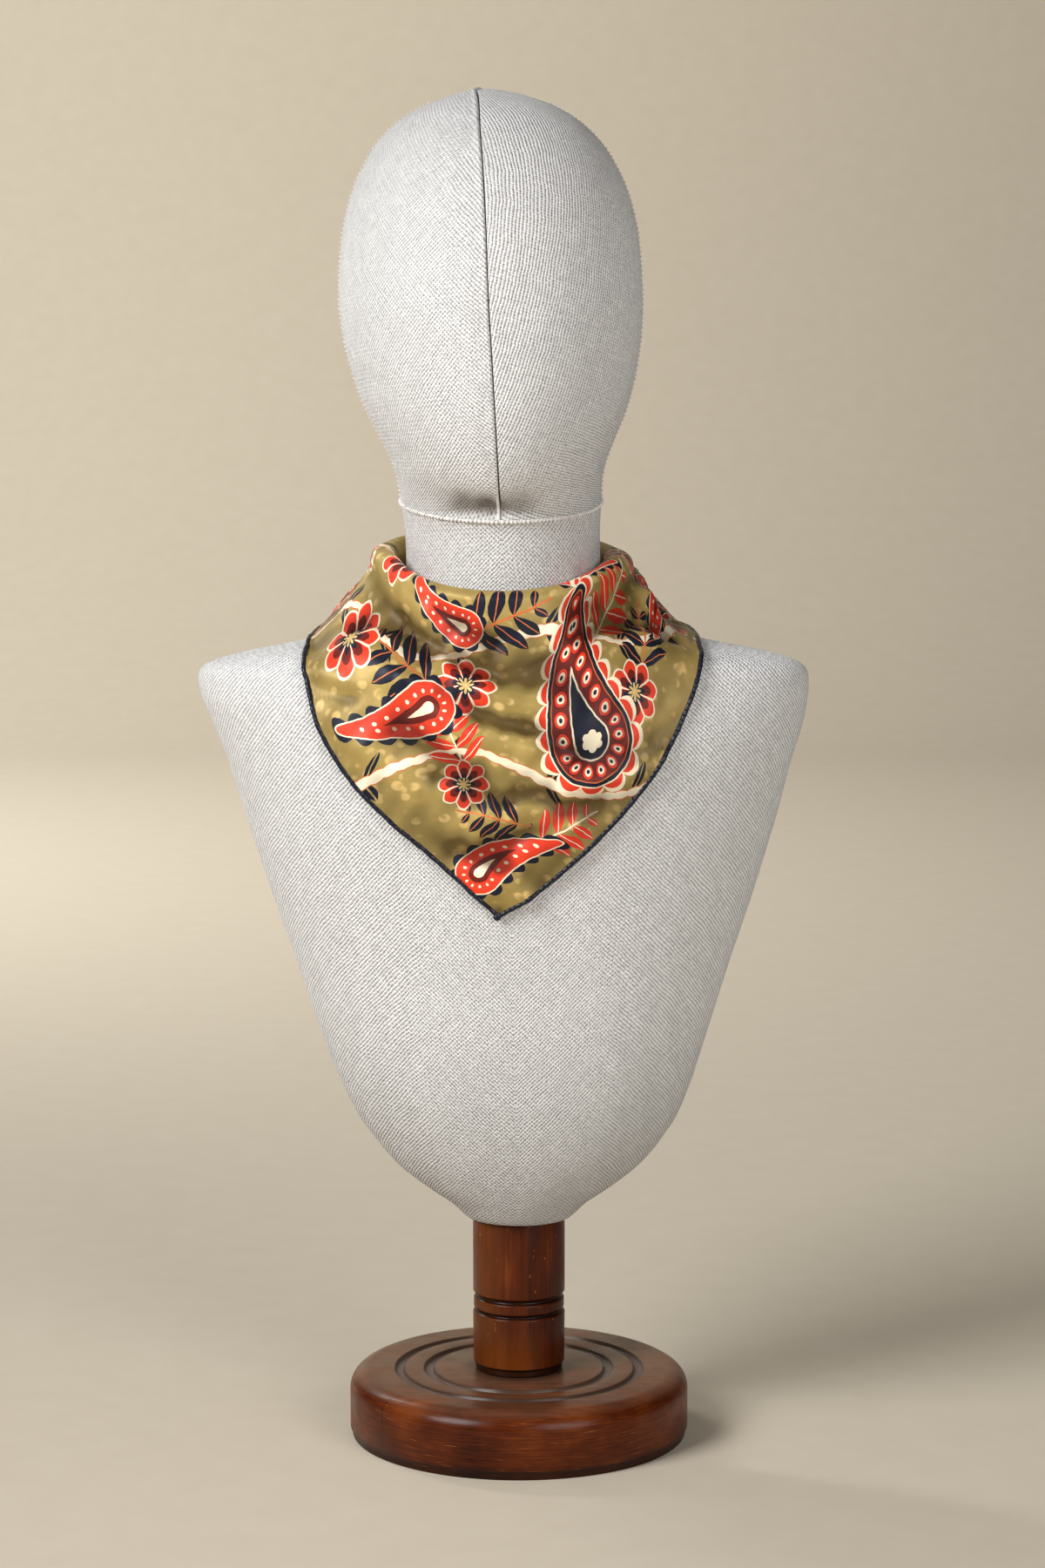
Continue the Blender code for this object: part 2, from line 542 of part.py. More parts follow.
def build_hems():
    """The hand-rolled hem: a slim tube just past the cloth's edge, from the tip to each end."""
    near, far = rib_directions()
    degrees = np.concatenate(([HEM_TIP_CUT], near[1:], far[1:]))
    for name, side in (("hem_right", 1.0), ("hem_left", -1.0)):
        hem_line = np.ones_like(degrees)
        edge = scarf_middle(side * degrees, hem_line)
        face = scarf_normal(scarf_middle, side * degrees, hem_line)
        outward = unit(np.cross(np.gradient(edge, axis=0), face)) * side
        path = edge + outward * (2 * SEAM_GAP + HEM_RADIUS)
        path = clear_of_form(path, HEM_RADIUS + 2 * SEAM_GAP, TUCKED_SOFTNESS)
        tube(name, path, face, HEM_RADIUS, HEM_SILK)


def build_knot():
    """The tied knot at the nape: a flattened ball with a shallow waist across it."""
    bm = bmesh.new()
    bmesh.ops.create_uvsphere(bm, u_segments=18, v_segments=11, radius=1.0)
    for vert in bm.verts:
        off_waist = (vert.co.x + KNOT_WAIST_SLANT * vert.co.z) / KNOT_WAIST_WIDTH
        waist = 1.0 - KNOT_WAIST_DEPTH * np.exp(-off_waist ** 2)
        scaled = [vert.co[axis] * KNOT_RADII[axis] for axis in range(3)]
        vert.co = (
            KNOT_CENTRE[0] + scaled[0], KNOT_CENTRE[1] + scaled[1] * waist, KNOT_CENTRE[2] + scaled[2] * waist)
    add_body("scarf_knot", bm, SILK)


def back_face(x, height):
    """Depth of the linen's back face behind a point given by its x and height."""
    heights, half_widths, _, backs, centres = FORM_SECTIONS
    half_width = np.interp(height, heights, half_widths)
    across = np.clip((x - np.interp(height, heights, centres)) / half_width, -0.98, 0.98)
    return np.interp(height, heights, backs) * np.sqrt(1 - across ** 2)


def tail_middle(side, length_share, width_share):
    """Middle of a tail: it leaves the knot, widens, then tapers to the square's corner."""
    shares, widths = np.array(TAIL_WIDTHS).T
    half_width = np.interp(length_share, shares, widths) * MM
    path_x = NECK_X + side * (TAIL_START + TAIL_SPREAD * length_share ** TAIL_SWAY)
    path_z = TAIL_TOP - TAIL_DROP * length_share
    lean = np.arctan2(side * TAIL_SPREAD * TAIL_SWAY * length_share ** (TAIL_SWAY - 1), TAIL_DROP)
    x = path_x + width_share * half_width * np.cos(lean)
    z = path_z + width_share * half_width * np.sin(lean)
    near, far = TAIL_STANDOFF
    y = back_face(x, z) + near + far * (1 - length_share) ** 3
    return np.stack((x, y, z), axis=-1)


def build_tails():
    """Two short pointed tails hanging from the knot onto the back of the form."""
    width_share, length_share = np.meshgrid(np.linspace(-1, 1, 5), np.linspace(0, 1, 13))
    half = np.array((0.0, CLOTH_WALL / 2, 0.0))
    for name, side in (("scarf_tail_right", 1.0), ("scarf_tail_left", -1.0)):
        middle = tail_middle(side, length_share, width_share)
        wall(name, middle + half, middle - half, SILK)


def main():
    """Build the stand, the form and the scarf."""
    clear_scene()
    build_stand()
    build_core()
    build_linen()
    build_scarf_fall()
    build_hems()
    build_knot()
    build_tails()


main()
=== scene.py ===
# %% [markdown]
# # A silk bandana on a linen display form
# The object is a 45 cm square of printed silk satin, folded on its diagonal, laid round the neck of
# a linen-covered head and bust, and tied at the nape. Under it is a turned, lacquered wooden stand.
# This lesson loads the measured model as a fixed frame, then replaces its plain solids by fine
# surfaces: each surface is a formula of two parameters, worked out with numpy as one array.

import bpy
import numpy as np
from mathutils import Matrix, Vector


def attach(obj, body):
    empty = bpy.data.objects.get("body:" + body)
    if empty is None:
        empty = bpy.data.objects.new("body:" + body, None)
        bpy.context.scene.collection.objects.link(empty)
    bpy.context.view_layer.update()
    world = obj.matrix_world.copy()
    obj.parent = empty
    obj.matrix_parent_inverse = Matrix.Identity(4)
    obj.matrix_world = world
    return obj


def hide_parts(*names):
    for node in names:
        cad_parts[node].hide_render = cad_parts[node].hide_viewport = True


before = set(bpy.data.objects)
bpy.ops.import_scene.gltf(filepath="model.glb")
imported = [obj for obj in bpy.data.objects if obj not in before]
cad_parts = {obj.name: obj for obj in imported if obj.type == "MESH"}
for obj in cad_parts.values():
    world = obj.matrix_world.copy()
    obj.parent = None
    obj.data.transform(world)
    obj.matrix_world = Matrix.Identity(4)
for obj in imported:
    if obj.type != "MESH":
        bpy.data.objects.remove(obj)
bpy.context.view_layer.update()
MM = 0.001

# %% [markdown]
# ## Smooth curves through a few rows of sizes
# A form is described well by a short table of sections. A chain of cubic curves passes through every
# row of such a table and bends evenly between them, so a few measured sections give a smooth body.

# %% Curves and small vector helpers


def smooth_rows(table, places):
    """A smooth curve through a table's rows: place 0 is the first row and 1 the second.

    Between two rows the curve is a cubic whose slope at each row is half the step between its
    neighbours. The rows before the first and after the last carry on in a straight line.
    """
    rows = np.vstack((2 * table[0] - table[1], table, 2 * table[-1] - table[-2]))
    places = np.asarray(places, dtype=float)
    first = np.clip(np.floor(places).astype(int), 0, len(rows) - 4)
    share = (places - first)[..., None]
    before, start, end, after = (rows[first + step] for step in range(4))
    bend = (2 * before - 5 * start + 4 * end - after) * share ** 2
    twist = (3 * start - before - 3 * end + after) * share ** 3
    return 0.5 * (2 * start + (end - before) * share + bend + twist)


def unit(vectors):
    """Vectors scaled to length one."""
    return vectors / np.linalg.norm(vectors, axis=-1, keepdims=True)


def ease(value, start, end):
    """0 before start, 1 after end, and a smooth S between: 3 s squared less 2 s cubed."""
    share = np.clip((value - start) / (end - start), 0.0, 1.0)
    return share * share * (3 - 2 * share)


def lengths_along(points, axis):
    """Length from the start of each row (axis 1) or column (axis 0) of a grid of points."""
    steps = np.linalg.norm(np.diff(points, axis=axis), axis=-1)
    nothing = np.zeros_like(np.take(steps, [0], axis=axis))
    return np.concatenate((nothing, np.cumsum(steps, axis=axis)), axis=axis)


def grid_normals(points):
    """Unit normals of a grid: the cross product of its steps along a row and up a column."""
    return unit(np.cross(np.gradient(points, axis=1), np.gradient(points, axis=0)))


def area_of(points):
    """Area of a grid: half the cross product of the two diagonals of every face, added up."""
    rising, falling = points[1:, 1:] - points[:-1, :-1], points[1:, :-1] - points[:-1, 1:]
    return float(np.linalg.norm(np.cross(rising, falling), axis=-1).sum() / 2)


print("a curve through 0, 1, 4 at 1.5:", smooth_rows(np.array([[0.0], [1.0], [4.0]]), 1.5))

# %% [markdown]
# ## From a grid of points to a closed piece
# Cloth has two faces and an edge. A wall is two grids of points with the same rows and columns,
# joined by a strip of faces along each rim. Numbering the vertices as a grid too makes every strip
# a slice of that numbering, with no loop over vertices. A piece that is done is handed in: it rides
# on the frame's one body, in a material slot, and most pieces stand for a plain CAD node.

# %% Meshes from grids


def grid_faces(index):
    """Quads of a grid of vertex numbers, all turned the same way."""
    corners = (index[:-1, :-1], index[:-1, 1:], index[1:, 1:], index[1:, :-1])
    return np.stack(corners, axis=-1).reshape(-1, 4)


def make_piece(name, vertices, faces, finish, uv=None, caps=()):
    """A smooth mesh object at the origin; uv holds a pair for each corner of the quads, in metres."""
    mesh = bpy.data.meshes.new(name)
    mesh.from_pydata(vertices.reshape(-1, 3).tolist(), [], faces.tolist() + [list(cap) for cap in caps])
    if uv is not None:
        layer = mesh.uv_layers.new(name="cloth")
        flat = np.zeros((len(mesh.loops), 2))
        flat[:faces.size] = uv
        layer.data.foreach_set("uv", flat.ravel())
    mesh.materials.append(finish)
    mesh.shade_smooth()
    piece = bpy.data.objects.new(name, mesh)
    bpy.context.scene.collection.objects.link(piece)
    return piece


def wall(name, front, back, finish, uv, ring=False, relief=None):
    """A closed wall between two grids. A ring's last column repeats its first, and they are joined.

    relief is a value for each point of the grid, kept as an attribute for the finish.
    """
    rows, columns = front.shape[:2]
    corner = np.arange(rows * columns).reshape(rows, columns)
    kept = columns - 1 if ring else columns
    number = np.arange(rows * kept).reshape(rows, kept)
    if ring:
        number = np.hstack((number, number[:, :1]))
    low = number + rows * kept
    strips = [(number, corner), (low[:, ::-1], corner[:, ::-1])]
    strips.append((np.stack((low[0], number[0])), np.stack((corner[0], corner[0]))))
    strips.append((np.stack((number[-1], low[-1])), np.stack((corner[-1], corner[-1]))))
    if not ring:
        strips.append((np.stack((number[:, 0], low[:, 0])), np.stack((corner[:, 0], corner[:, 0]))))
        strips.append((np.stack((low[:, -1], number[:, -1])), np.stack((corner[:, -1], corner[:, -1]))))
    faces = np.concatenate([grid_faces(numbers) for numbers, _ in strips])
    corners = np.concatenate([grid_faces(places) for _, places in strips])
    vertices = np.stack((front[:, :kept], back[:, :kept]))
    piece = make_piece(name, vertices, faces, finish, uv.reshape(-1, 2)[corners.ravel()])
    if relief is not None:
        values = np.stack((relief[:, :kept], relief[:, :kept]))
        piece.data.attributes.new("relief", "FLOAT", "POINT").data.foreach_set("value", values.ravel())
    return piece


def closed(name, rings, finish):
    """A closed body through rings whose last point repeats the first, capped at both ends."""
    number = np.arange(rings.shape[0] * (rings.shape[1] - 1)).reshape(rings.shape[0], -1)
    faces = grid_faces(np.hstack((number, number[:, :1])))
    corners = grid_faces(np.arange(rings.shape[0] * rings.shape[1]).reshape(rings.shape[:2]))
    uv = np.stack((lengths_along(rings, 1), lengths_along(rings, 0)), axis=-1).reshape(-1, 2)
    caps = (number[0, ::-1].tolist(), number[-1].tolist())
    return make_piece(name, rings[:, :-1], faces, finish, uv[corners.ravel()], caps)


def tube(name, path, across, radii, finish, sides=12):
    """A round tube along a path: rings of the given radii, each square to the path, with end caps.

    A ring's points are the path's point plus the radius times (level cos a + upright sin a).
    """
    ahead = unit(np.gradient(path, axis=0))
    level = unit(np.cross(ahead, across))
    upright = np.cross(level, ahead)
    turn = np.linspace(0.0, 2 * np.pi, sides + 1)[None, :, None]
    spokes = level[:, None] * np.cos(turn) + upright[:, None] * np.sin(turn)
    return closed(name, path[:, None] + radii[:, None, None] * spokes, finish)


def hand_in(piece, slot, *nodes):
    """Puts a piece on the body, in place of the CAD nodes that it stands for. Its slot is not used."""
    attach(piece, "root")
    if nodes:
        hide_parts(*nodes)


print("3 x 4 points make", len(grid_faces(np.arange(12).reshape(3, 4))), "faces")

# %% [markdown]
# ## Writing shader maths as Python
# A pattern in a material is arithmetic on coordinates. Wrapping a socket in a small class lets the
# arithmetic be read as ordinary expressions: each operator adds one Math node to the material.

# %% One class for signals and one for a material's nodes


def math_node(operation):
    """A method that adds a Math node: the signal is its first value, and what follows its others."""
    def method(self, *others):
        return self.math(operation, *others)
    return method


class Signal:
    """A number, vector or colour on its way between nodes; each operator adds one Math node."""

    def __init__(self, board, socket):
        self.board = board
        self.socket = socket

    def math(self, operation, *others):
        return self.board.add("ShaderNodeMath", {"operation": operation}, dict(enumerate((self, *others))))

    def __rsub__(self, other):
        return self.board.add("ShaderNodeMath", {"operation": "SUBTRACT"}, {0: other, 1: self})

    __add__ = __radd__ = math_node("ADD")
    __sub__ = math_node("SUBTRACT")
    __mul__ = __rmul__ = __and__ = math_node("MULTIPLY")
    __truediv__ = math_node("DIVIDE")
    __lt__ = math_node("LESS_THAN")
    __gt__ = math_node("GREATER_THAN")
    __or__ = math_node("MAXIMUM")
    __abs__ = math_node("ABSOLUTE")
    sin = math_node("SINE")
    cos = math_node("COSINE")

    def hypot(self, other):
        """Length of a line with these two sides: the root of the sum of their squares."""
        return (self * self + other * other).math("SQRT")

    def repeat(self, period):
        """The distance from the middle of the nearest of equal cells, signed."""
        return self.math("FLOORED_MODULO", period) - period / 2


class Board:
    """One material and its nodes. add() is the only place where a node is made."""

    def __init__(self, name):
        self.material = bpy.data.materials.new(name)
        self.material.use_nodes = True
        self.tree = self.material.node_tree
        self.shader = self.tree.nodes["Principled BSDF"]

    def plug(self, target, value):
        """Links a signal to a socket, or sets the socket's own constant."""
        if isinstance(value, Signal):
            self.tree.links.new(value.socket, target)
        else:
            target.default_value = value

    def add(self, kind, settings=None, inputs=None, output=0):
        """A new node: first its settings, then its inputs by name or number; returns one output."""
        node = self.tree.nodes.new(kind)
        for name, value in (settings or {}).items():
            if name == "stops":
                for place, colour in value[2:]:
                    node.color_ramp.elements.new(place).color = colour
                ends = (node.color_ramp.elements[0], node.color_ramp.elements[-1])
                for stop, (place, colour) in zip(ends, value):
                    stop.position, stop.color = place, colour
            else:
                setattr(node, name, value)
        for name, value in (inputs or {}).items():
            self.plug(node.inputs[name], value)
        return Signal(self, node.outputs[output])

    def coordinates(self, output="Object"):
        return self.add("ShaderNodeTexCoord", output=output)

    def scaled(self, vector, scale):
        """The vector times a scale for each axis: large numbers draw a pattern fine on that axis."""
        return self.add("ShaderNodeMapping", {}, {"Vector": vector, "Scale": scale})

    def split(self, vector):
        """The vector's x, y and z."""
        parts = self.add("ShaderNodeSeparateXYZ", {}, {0: vector})
        return [Signal(self, parts.socket.node.outputs[axis]) for axis in range(3)]

    def noise(self, vector, scale, detail=2.0, roughness=0.5):
        inputs = {"Vector": vector, "Scale": scale, "Detail": detail, "Roughness": roughness}
        return self.add("ShaderNodeTexNoise", {}, inputs)

    def ramp(self, value, *stops):
        """Colours as (place, colour): the first stop, the last one, then those between them."""
        return self.add("ShaderNodeValToRGB", {"stops": stops}, {0: value})

    def fade(self, value, start, end):
        """0 at start, 1 at end, with a smooth S between."""
        inputs = {"Value": value, "From Min": start, "From Max": end}
        return self.add("ShaderNodeMapRange", {"interpolation_type": "SMOOTHSTEP"}, inputs)

    def paint(self, below, above, mask):
        """The colour above where the mask is 1, over the colour below."""
        return self.add("ShaderNodeMix", {"data_type": "RGBA"}, {0: mask, 6: below, 7: above}, output=2)

    def layers(self, colour, *painted):
        """Several colours painted over one another in turn, each as (colour, mask)."""
        for above, mask in painted:
            colour = self.paint(colour, above, mask)
        return colour

    def shade(self, below, tint, mask):
        """The colour below times the tint where the mask is 1."""
        return self.add("ShaderNodeMix", {"data_type": "RGBA", "blend_type": "MULTIPLY"},
                        {0: mask, 6: below, 7: tint}, output=2)

    def either(self, first, second, share):
        """The first number where share is 0 and the second where it is 1."""
        return self.add("ShaderNodeMix", {"data_type": "FLOAT"}, {0: share, 2: first, 3: second})

    def choose(self, first, second, share):
        """The same for two vectors."""
        return self.add("ShaderNodeMix", {"data_type": "VECTOR"}, {0: share, 4: first, 5: second}, output=1)

    def bump(self, height, distance, strength=1.0, normal=None):
        """The normal of a surface raised by height times distance, over a normal given before."""
        inputs = {"Height": height, "Distance": distance, "Strength": strength}
        if normal is not None:
            inputs["Normal"] = normal
        return self.add("ShaderNodeBump", {}, inputs)

    def finish(self, **sockets):
        """Plugs the Principled shader: Base_Color stands for its socket Base Color."""
        for name, value in sockets.items():
            self.plug(self.shader.inputs[name.replace("_", " ")], value)
        return self.material


print("a signal has", sum(callable(method) for method in vars(Signal).values()), "methods")

# %% [markdown]
# ## Linen
# The cover is a grey-white weave with thick ribs one way and finer yarns across them. A yarn's height is the
# size of a sine, so it is round on top and narrow where it meets the next one. The product of the two sines
# changes sign from crossing to crossing, which lifts and sinks the yarns by turns, and where both are low a
# dark pit is painted in as shade. The UV map is the cloth's own surface in metres, so the weave has its real
# size on every panel.

# %% Linen finish
RIB_PITCH = 1.75 * MM
YARN_PITCH = 1.45 * MM
DULL_YARN, BRIGHT_YARN = (0.73, 0.735, 0.742, 1), (0.89, 0.895, 0.902, 1)
PIT_SHADE, SOILED_LINEN = (0.27, 0.252, 0.238, 1), (0.50, 0.475, 0.44, 1)
SHADED_LINEN, PAINTED_SHADE_GREY = (0.33, 0.295, 0.265, 1), (0.66, 0.64, 0.62, 1)
THROAT_HEIGHT = 468.0 * MM


def linen_finish():
    """Ribbed weave: a |rib| + (1 - a) |yarn| + 0.2 rib yarn, where a grows from place to place.

    The colour is also painted darker as shade: towards its foot, round the throat under the chin and on the
    crown.
    """
    board = Board("linen")
    cloth = board.coordinates("UV")
    wander = board.noise(cloth, 70.0, detail=3.0)
    across, along, _ = board.split(cloth)
    rib = (across * (np.pi / RIB_PITCH) + wander * 5.0).sin()
    yarn = (along * (np.pi / YARN_PITCH) - wander * 5.0).sin()
    patches = board.noise(cloth, 22.0) * 0.5 + board.fade(abs(across - along), 0.03, 0.10) * 0.3
    ribbed = board.fade(patches, 0.22, 0.50) * 0.32
    slubs = (board.noise(cloth, 760.0) - 0.5) * 0.8
    height = abs(rib) * (ribbed + 0.36) + abs(yarn) * (0.64 - ribbed) + rib * yarn * 0.2 + slubs
    warp_tone = board.noise(board.scaled(cloth, (0.7 / YARN_PITCH, 70.0, 1.0)), 1.0)
    weft_tone = board.noise(board.scaled(cloth, (70.0, 0.7 / YARN_PITCH, 1.0)), 1.0)
    tone = (warp_tone + weft_tone) * 0.5
    soil = board.noise(board.coordinates(), 14.0, detail=3.0)
    yarns = board.ramp(tone, (0.36, DULL_YARN), (0.62, BRIGHT_YARN))
    # painted shade: the pits between the yarns, where the weave is low, are darker
    colour = board.paint(PIT_SHADE, yarns, board.fade(height, 0.12, 0.66))
    colour = board.paint(colour, SOILED_LINEN, board.fade(soil, 0.55, 0.85) * 0.12)
    relief = board.add("ShaderNodeAttribute", {"attribute_name": "relief"}, output="Fac")
    # painted shade in the turned-in seams and in the hollows under the chin, from the panels' relief
    colour = board.shade(colour, SHADED_LINEN, board.fade(relief, 0.0, -1.05))
    _, _, z = board.split(board.coordinates())
    # painted shade: darker towards the foot, round the throat under the chin, and on the crown
    low_and_throat_shade = board.fade(z, 0.25, 0.13) * 0.7 + board.fade(abs(z - THROAT_HEIGHT), 0.035, 0.015) * 0.35
    colour = board.shade(colour, PAINTED_SHADE_GREY, low_and_throat_shade + board.fade(z, 0.60, 0.69) * 0.35)
    return board.finish(
        Base_Color=colour, Roughness=0.93, Normal=board.bump(height + tone * 0.6, 0.6 * MM),
        Sheen_Weight=0.12, Sheen_Roughness=0.6, Specular_IOR_Level=0.15)


LINEN = linen_finish()
print("linen nodes:", len(LINEN.node_tree.nodes))

# %% [markdown]
# ## The form's shape
# Each section of the form is an ellipse with its own depth in front and behind. Its rows were
# measured on the outline, from the seat on the post up to the crown. The head leans a little, so
# each section has its own centre too, and round the chin a section dips towards the front.

# %% Sections of the form and its panels
# height, half width, depth in front, depth behind, centre in x, dip in front, all in millimetres
FORM_RINGS = np.array((
    (117.0, 27.0, 27.0, 27.0, 0.0, 0.0), (120.0, 30.6, 30.2, 30.0, 0.0, 0.0),
    (126.0, 37.0, 34.5, 33.5, 0.0, 0.0), (134.0, 49.0, 39.5, 37.5, 0.0, 0.0),
    (144.0, 62.0, 44.5, 42.0, 0.0, 0.0), (153.5, 71.0, 48.5, 45.0, 0.0, 0.0),
    (163.0, 78.0, 51.5, 48.0, -0.2, 0.0), (172.0, 84.0, 54.0, 50.0, -0.6, 0.0),
    (190.0, 92.2, 58.0, 53.5, -1.5, 0.0), (217.0, 101.6, 62.5, 57.5, -2.5, 0.0),
    (254.0, 113.5, 67.5, 61.5, -3.0, 0.0), (291.0, 126.0, 72.5, 65.0, -3.4, 0.0),
    (328.0, 137.5, 77.0, 68.5, -3.9, 0.0), (356.0, 145.5, 78.5, 70.5, -4.7, 0.0),
    (378.0, 153.0, 77.0, 71.0, -5.6, 0.0), (392.0, 157.2, 73.5, 69.5, -7.2, 0.0),
    (401.0, 158.4, 70.0, 68.0, -7.9, 0.0), (406.5, 157.5, 67.5, 66.5, -8.0, 0.0),
    (410.3, 153.3, 66.0, 65.0, -7.4, 0.0), (413.0, 146.0, 65.0, 64.0, -6.6, 0.0),
    (416.0, 134.0, 63.8, 63.0, -6.4, 0.0), (419.3, 117.0, 62.6, 62.0, -6.4, 0.0),
    (422.5, 101.0, 61.6, 61.0, -6.6, 0.0), (426.0, 84.0, 60.6, 60.0, -6.9, 0.0),
    (430.0, 70.5, 59.6, 59.2, -7.2, 0.0), (435.0, 61.0, 58.6, 58.4, -7.5, 0.0),
    (441.0, 55.0, 57.6, 57.4, -7.7, 0.0), (449.0, 51.5, 56.8, 56.6, -7.8, 0.0),
    (458.0, 50.4, 56.2, 56.2, -7.9, 0.0), (470.0, 50.2, 56.0, 56.0, -8.2, 0.0),
    (482.0, 50.6, 56.3, 56.3, -8.6, 3.0), (494.0, 51.7, 58.5, 58.0, -9.1, 8.0),
    (498.0, 52.0, 62.5, 59.5, -9.3, 7.5), (503.0, 52.4, 67.5, 62.5, -9.6, 6.5),
    (509.5, 53.6, 74.0, 68.5, -9.9, 5.5), (518.0, 56.4, 80.5, 77.0, -10.3, 4.5),
    (528.5, 61.2, 86.0, 86.0, -10.9, 3.0), (541.0, 66.9, 90.0, 94.0, -11.6, 2.0),
    (555.0, 71.6, 92.5, 99.5, -12.4, 1.0), (572.0, 75.4, 94.0, 103.0, -13.3, 0.0),
    (592.0, 77.7, 94.5, 104.0, -14.2, 0.0), (612.0, 77.3, 93.5, 103.0, -14.5, 0.0),
    (632.0, 75.3, 90.0, 99.5, -14.5, 0.0), (650.0, 70.9, 83.5, 92.5, -14.6, 0.0),
    (665.0, 64.3, 74.5, 82.5, -14.7, 0.0), (677.0, 56.5, 64.5, 71.0, -15.0, 0.0),
    (687.0, 46.0, 52.5, 57.5, -15.0, 0.0), (694.5, 33.5, 38.0, 41.5, -15.0, 0.0),
    (699.8, 19.0, 21.5, 23.0, -15.5, 0.0), (702.6, 7.5, 8.5, 9.0, -17.0, 0.0),
    (703.3, 0.0, 0.0, 0.0, -18.0, 0.0),
))
NECK_SEAM_HEIGHT = 435.0
CHIN_SEAM_HEIGHT = 494.0
LINEN_WALL = 1.5 * MM
# share of the last row that the head's panels stop short of the crown's pole
NEAR_POLE = 0.03


def place_of_height(height):
    """Row number of a height, in millimetres, in FORM_RINGS."""
    return np.interp(height, FORM_RINGS[:, 0], np.arange(len(FORM_RINGS)))


def form_point(turn, place):
    """Point on the linen: x = centre + half width sin t, y = -depth cos t, z = height - dip cos t."""
    height, half_width, front, back, centre, dip = np.moveaxis(smooth_rows(FORM_RINGS, place), -1, 0)
    depth = np.where(np.cos(turn) > 0, front, back)
    x = centre + half_width * np.sin(turn)
    return np.stack((x, -depth * np.cos(turn), height - dip * np.cos(turn)), axis=-1) * MM


# %% [markdown]
# ## Linen panels
# A maker cuts the cover in gores: four for the head, a bias-cut band for the neck, a front and a back for the
# torso. Where two gores meet, both edges turn in, which leaves the fine dark line down the middle of the
# face. So each panel sinks a little within two millimetres of a seam. How far it is sunk is kept as an
# attribute, and the linen's colour is painted darker by it as shade, in the seams and in the hollows under
# the chin.

# %% Gores and their seams
SEAM_DEPTH = 1.2 * MM
SEAM_WIDTH = 0.42 * MM
SEAM_GAP = 0.3 * MM
COLUMNS_A_QUARTER = 64
# directions of a panel's first columns, in degrees from its seam
SEAM_COLUMNS = (0.0, 0.3, 0.7, 1.2, 1.9, 2.8)
neck_seam = place_of_height(NECK_SEAM_HEIGHT)
chin_seam = place_of_height(CHIN_SEAM_HEIGHT)
crown = len(FORM_RINGS) - 1 - NEAR_POLE
# node, start and end in degrees from the front, lowest and highest place, grain turned by, mirrored
PANELS = (
    ("torso_front", -90, 90, 0.0, neck_seam, 45, True), ("torso_back", 90, 270, 0.0, neck_seam, 45, True),
    ("neck_band", 180, 540, neck_seam, chin_seam, -45, True),
    ("head_front_left", -90, 0, chin_seam, crown, 45, False),
    ("head_front_right", 0, 90, chin_seam, crown, -14, False),
    ("head_back_right", 90, 180, chin_seam, crown, 45, False),
    ("head_back_left", 180, 270, chin_seam, crown, -14, False),
)
PANEL_ROWS = 150


def panel_columns(start, end):
    """Directions of a panel's columns, evenly spread, with closer ones beside each seam."""
    degrees = np.linspace(start, end, (end - start) // 90 * COLUMNS_A_QUARTER + 1)
    if end - start == 360:
        return degrees
    near = np.array(SEAM_COLUMNS)
    return np.concatenate((start + near, degrees[3:-3], (end - near)[::-1]))


def turned_in(around, along, ring):
    """Depth of the turned-in edges: a bell curve of the distance to each seam, added up."""
    edges = [along, along[-1:] - along]
    if not ring:
        edges += [around, around[:, -1:] - around]
    return np.minimum(sum(SEAM_DEPTH * np.exp(-(edge / SEAM_WIDTH) ** 2) for edge in edges), SEAM_DEPTH)


def weave_map(around, along, grain, mirrored):
    """The cloth's own coordinates, counted from the panel's middle column and turned by the grain."""
    middle = slice(around.shape[1] // 2, around.shape[1] // 2 + 1)
    across, up = around - around[:, middle], along[:, middle]
    if mirrored:
        across = np.abs(across)
    cos, sin = np.cos(np.radians(grain)), np.sin(np.radians(grain))
    return np.stack((across * cos + up * sin, up * cos - across * sin), axis=-1)


print("gores:", [panel[0] for panel in PANELS])

# %% [markdown]
# ## How the head's cover is drawn in
# Under the chin the cover is drawn in, in a few soft hollows. Towards the crown the middle seam
# leans to the left, and the linen stands up in a small lip beside it. Each hollow is a bell curve
# round a short line, so a handful of lines gives the whole relief, and none of it is a dent that
# was pushed by hand.

# %% Hollows, lip and leaning seam
# the lip that the cover raises along the left of the middle seam: height, place and half width
CREST_LIP, CREST_PLACE, CREST_WIDTH = 0.9 * MM, 1.6 * MM, 1.1 * MM
CREST_FADE = (600.0, 690.0)
# where the cover is drawn in under the chin: start and end as (x, height), half width, lift, in millimetres
CHIN_HOLLOWS = (
    (-46.0, 498.5, -30.0, 493.0, 8.5, -1.3), (-28.0, 492.0, -14.0, 487.5, 8.5, -2.6),
    (-13.0, 488.0, 3.0, 493.0, 8.5, -2.7), (-16.5, 493.0, -14.5, 486.5, 5.0, -1.3),
)
DEEPEST_HOLLOW = 4.4 * MM
CHIN_DIP = 8.0
# the middle seam's lean to the left: from this height, over this rise, by this much, in millimetres
LEAN_START, LEAN_RISE, LEAN = 555.0, 147.0, 5.6


def lift_of_lines(flat, lines):
    """Height of a surface over soft lines: each is a bell curve of the distance to it, times its lift."""
    lift = np.zeros(flat.shape[:-1])
    for *ends, half_width, height in lines:
        start, end = np.array(ends).reshape(2, 2) * MM
        line = end - start
        share = np.clip(((flat - start) @ line) / (line @ line), 0.0, 1.0)
        distance = np.linalg.norm(flat - start - share[..., None] * line, axis=-1) / (half_width * MM)
        lift += height * MM * np.exp(-distance ** 2)
    return lift


def seam_turn(turn, place):
    """The middle seam leaves the middle of the head towards the crown, by up to 5.6 mm to the left."""
    height, half_width = np.moveaxis(smooth_rows(FORM_RINGS, place)[..., :2], -1, 0)
    risen = np.clip((height - LEAN_START) / LEAN_RISE, 0.0, 1.0)
    lean = np.minimum(LEAN * risen ** 2 / np.maximum(half_width, 7.0), 0.45)
    return turn - lean * np.cos(turn) * np.abs(np.cos(turn))


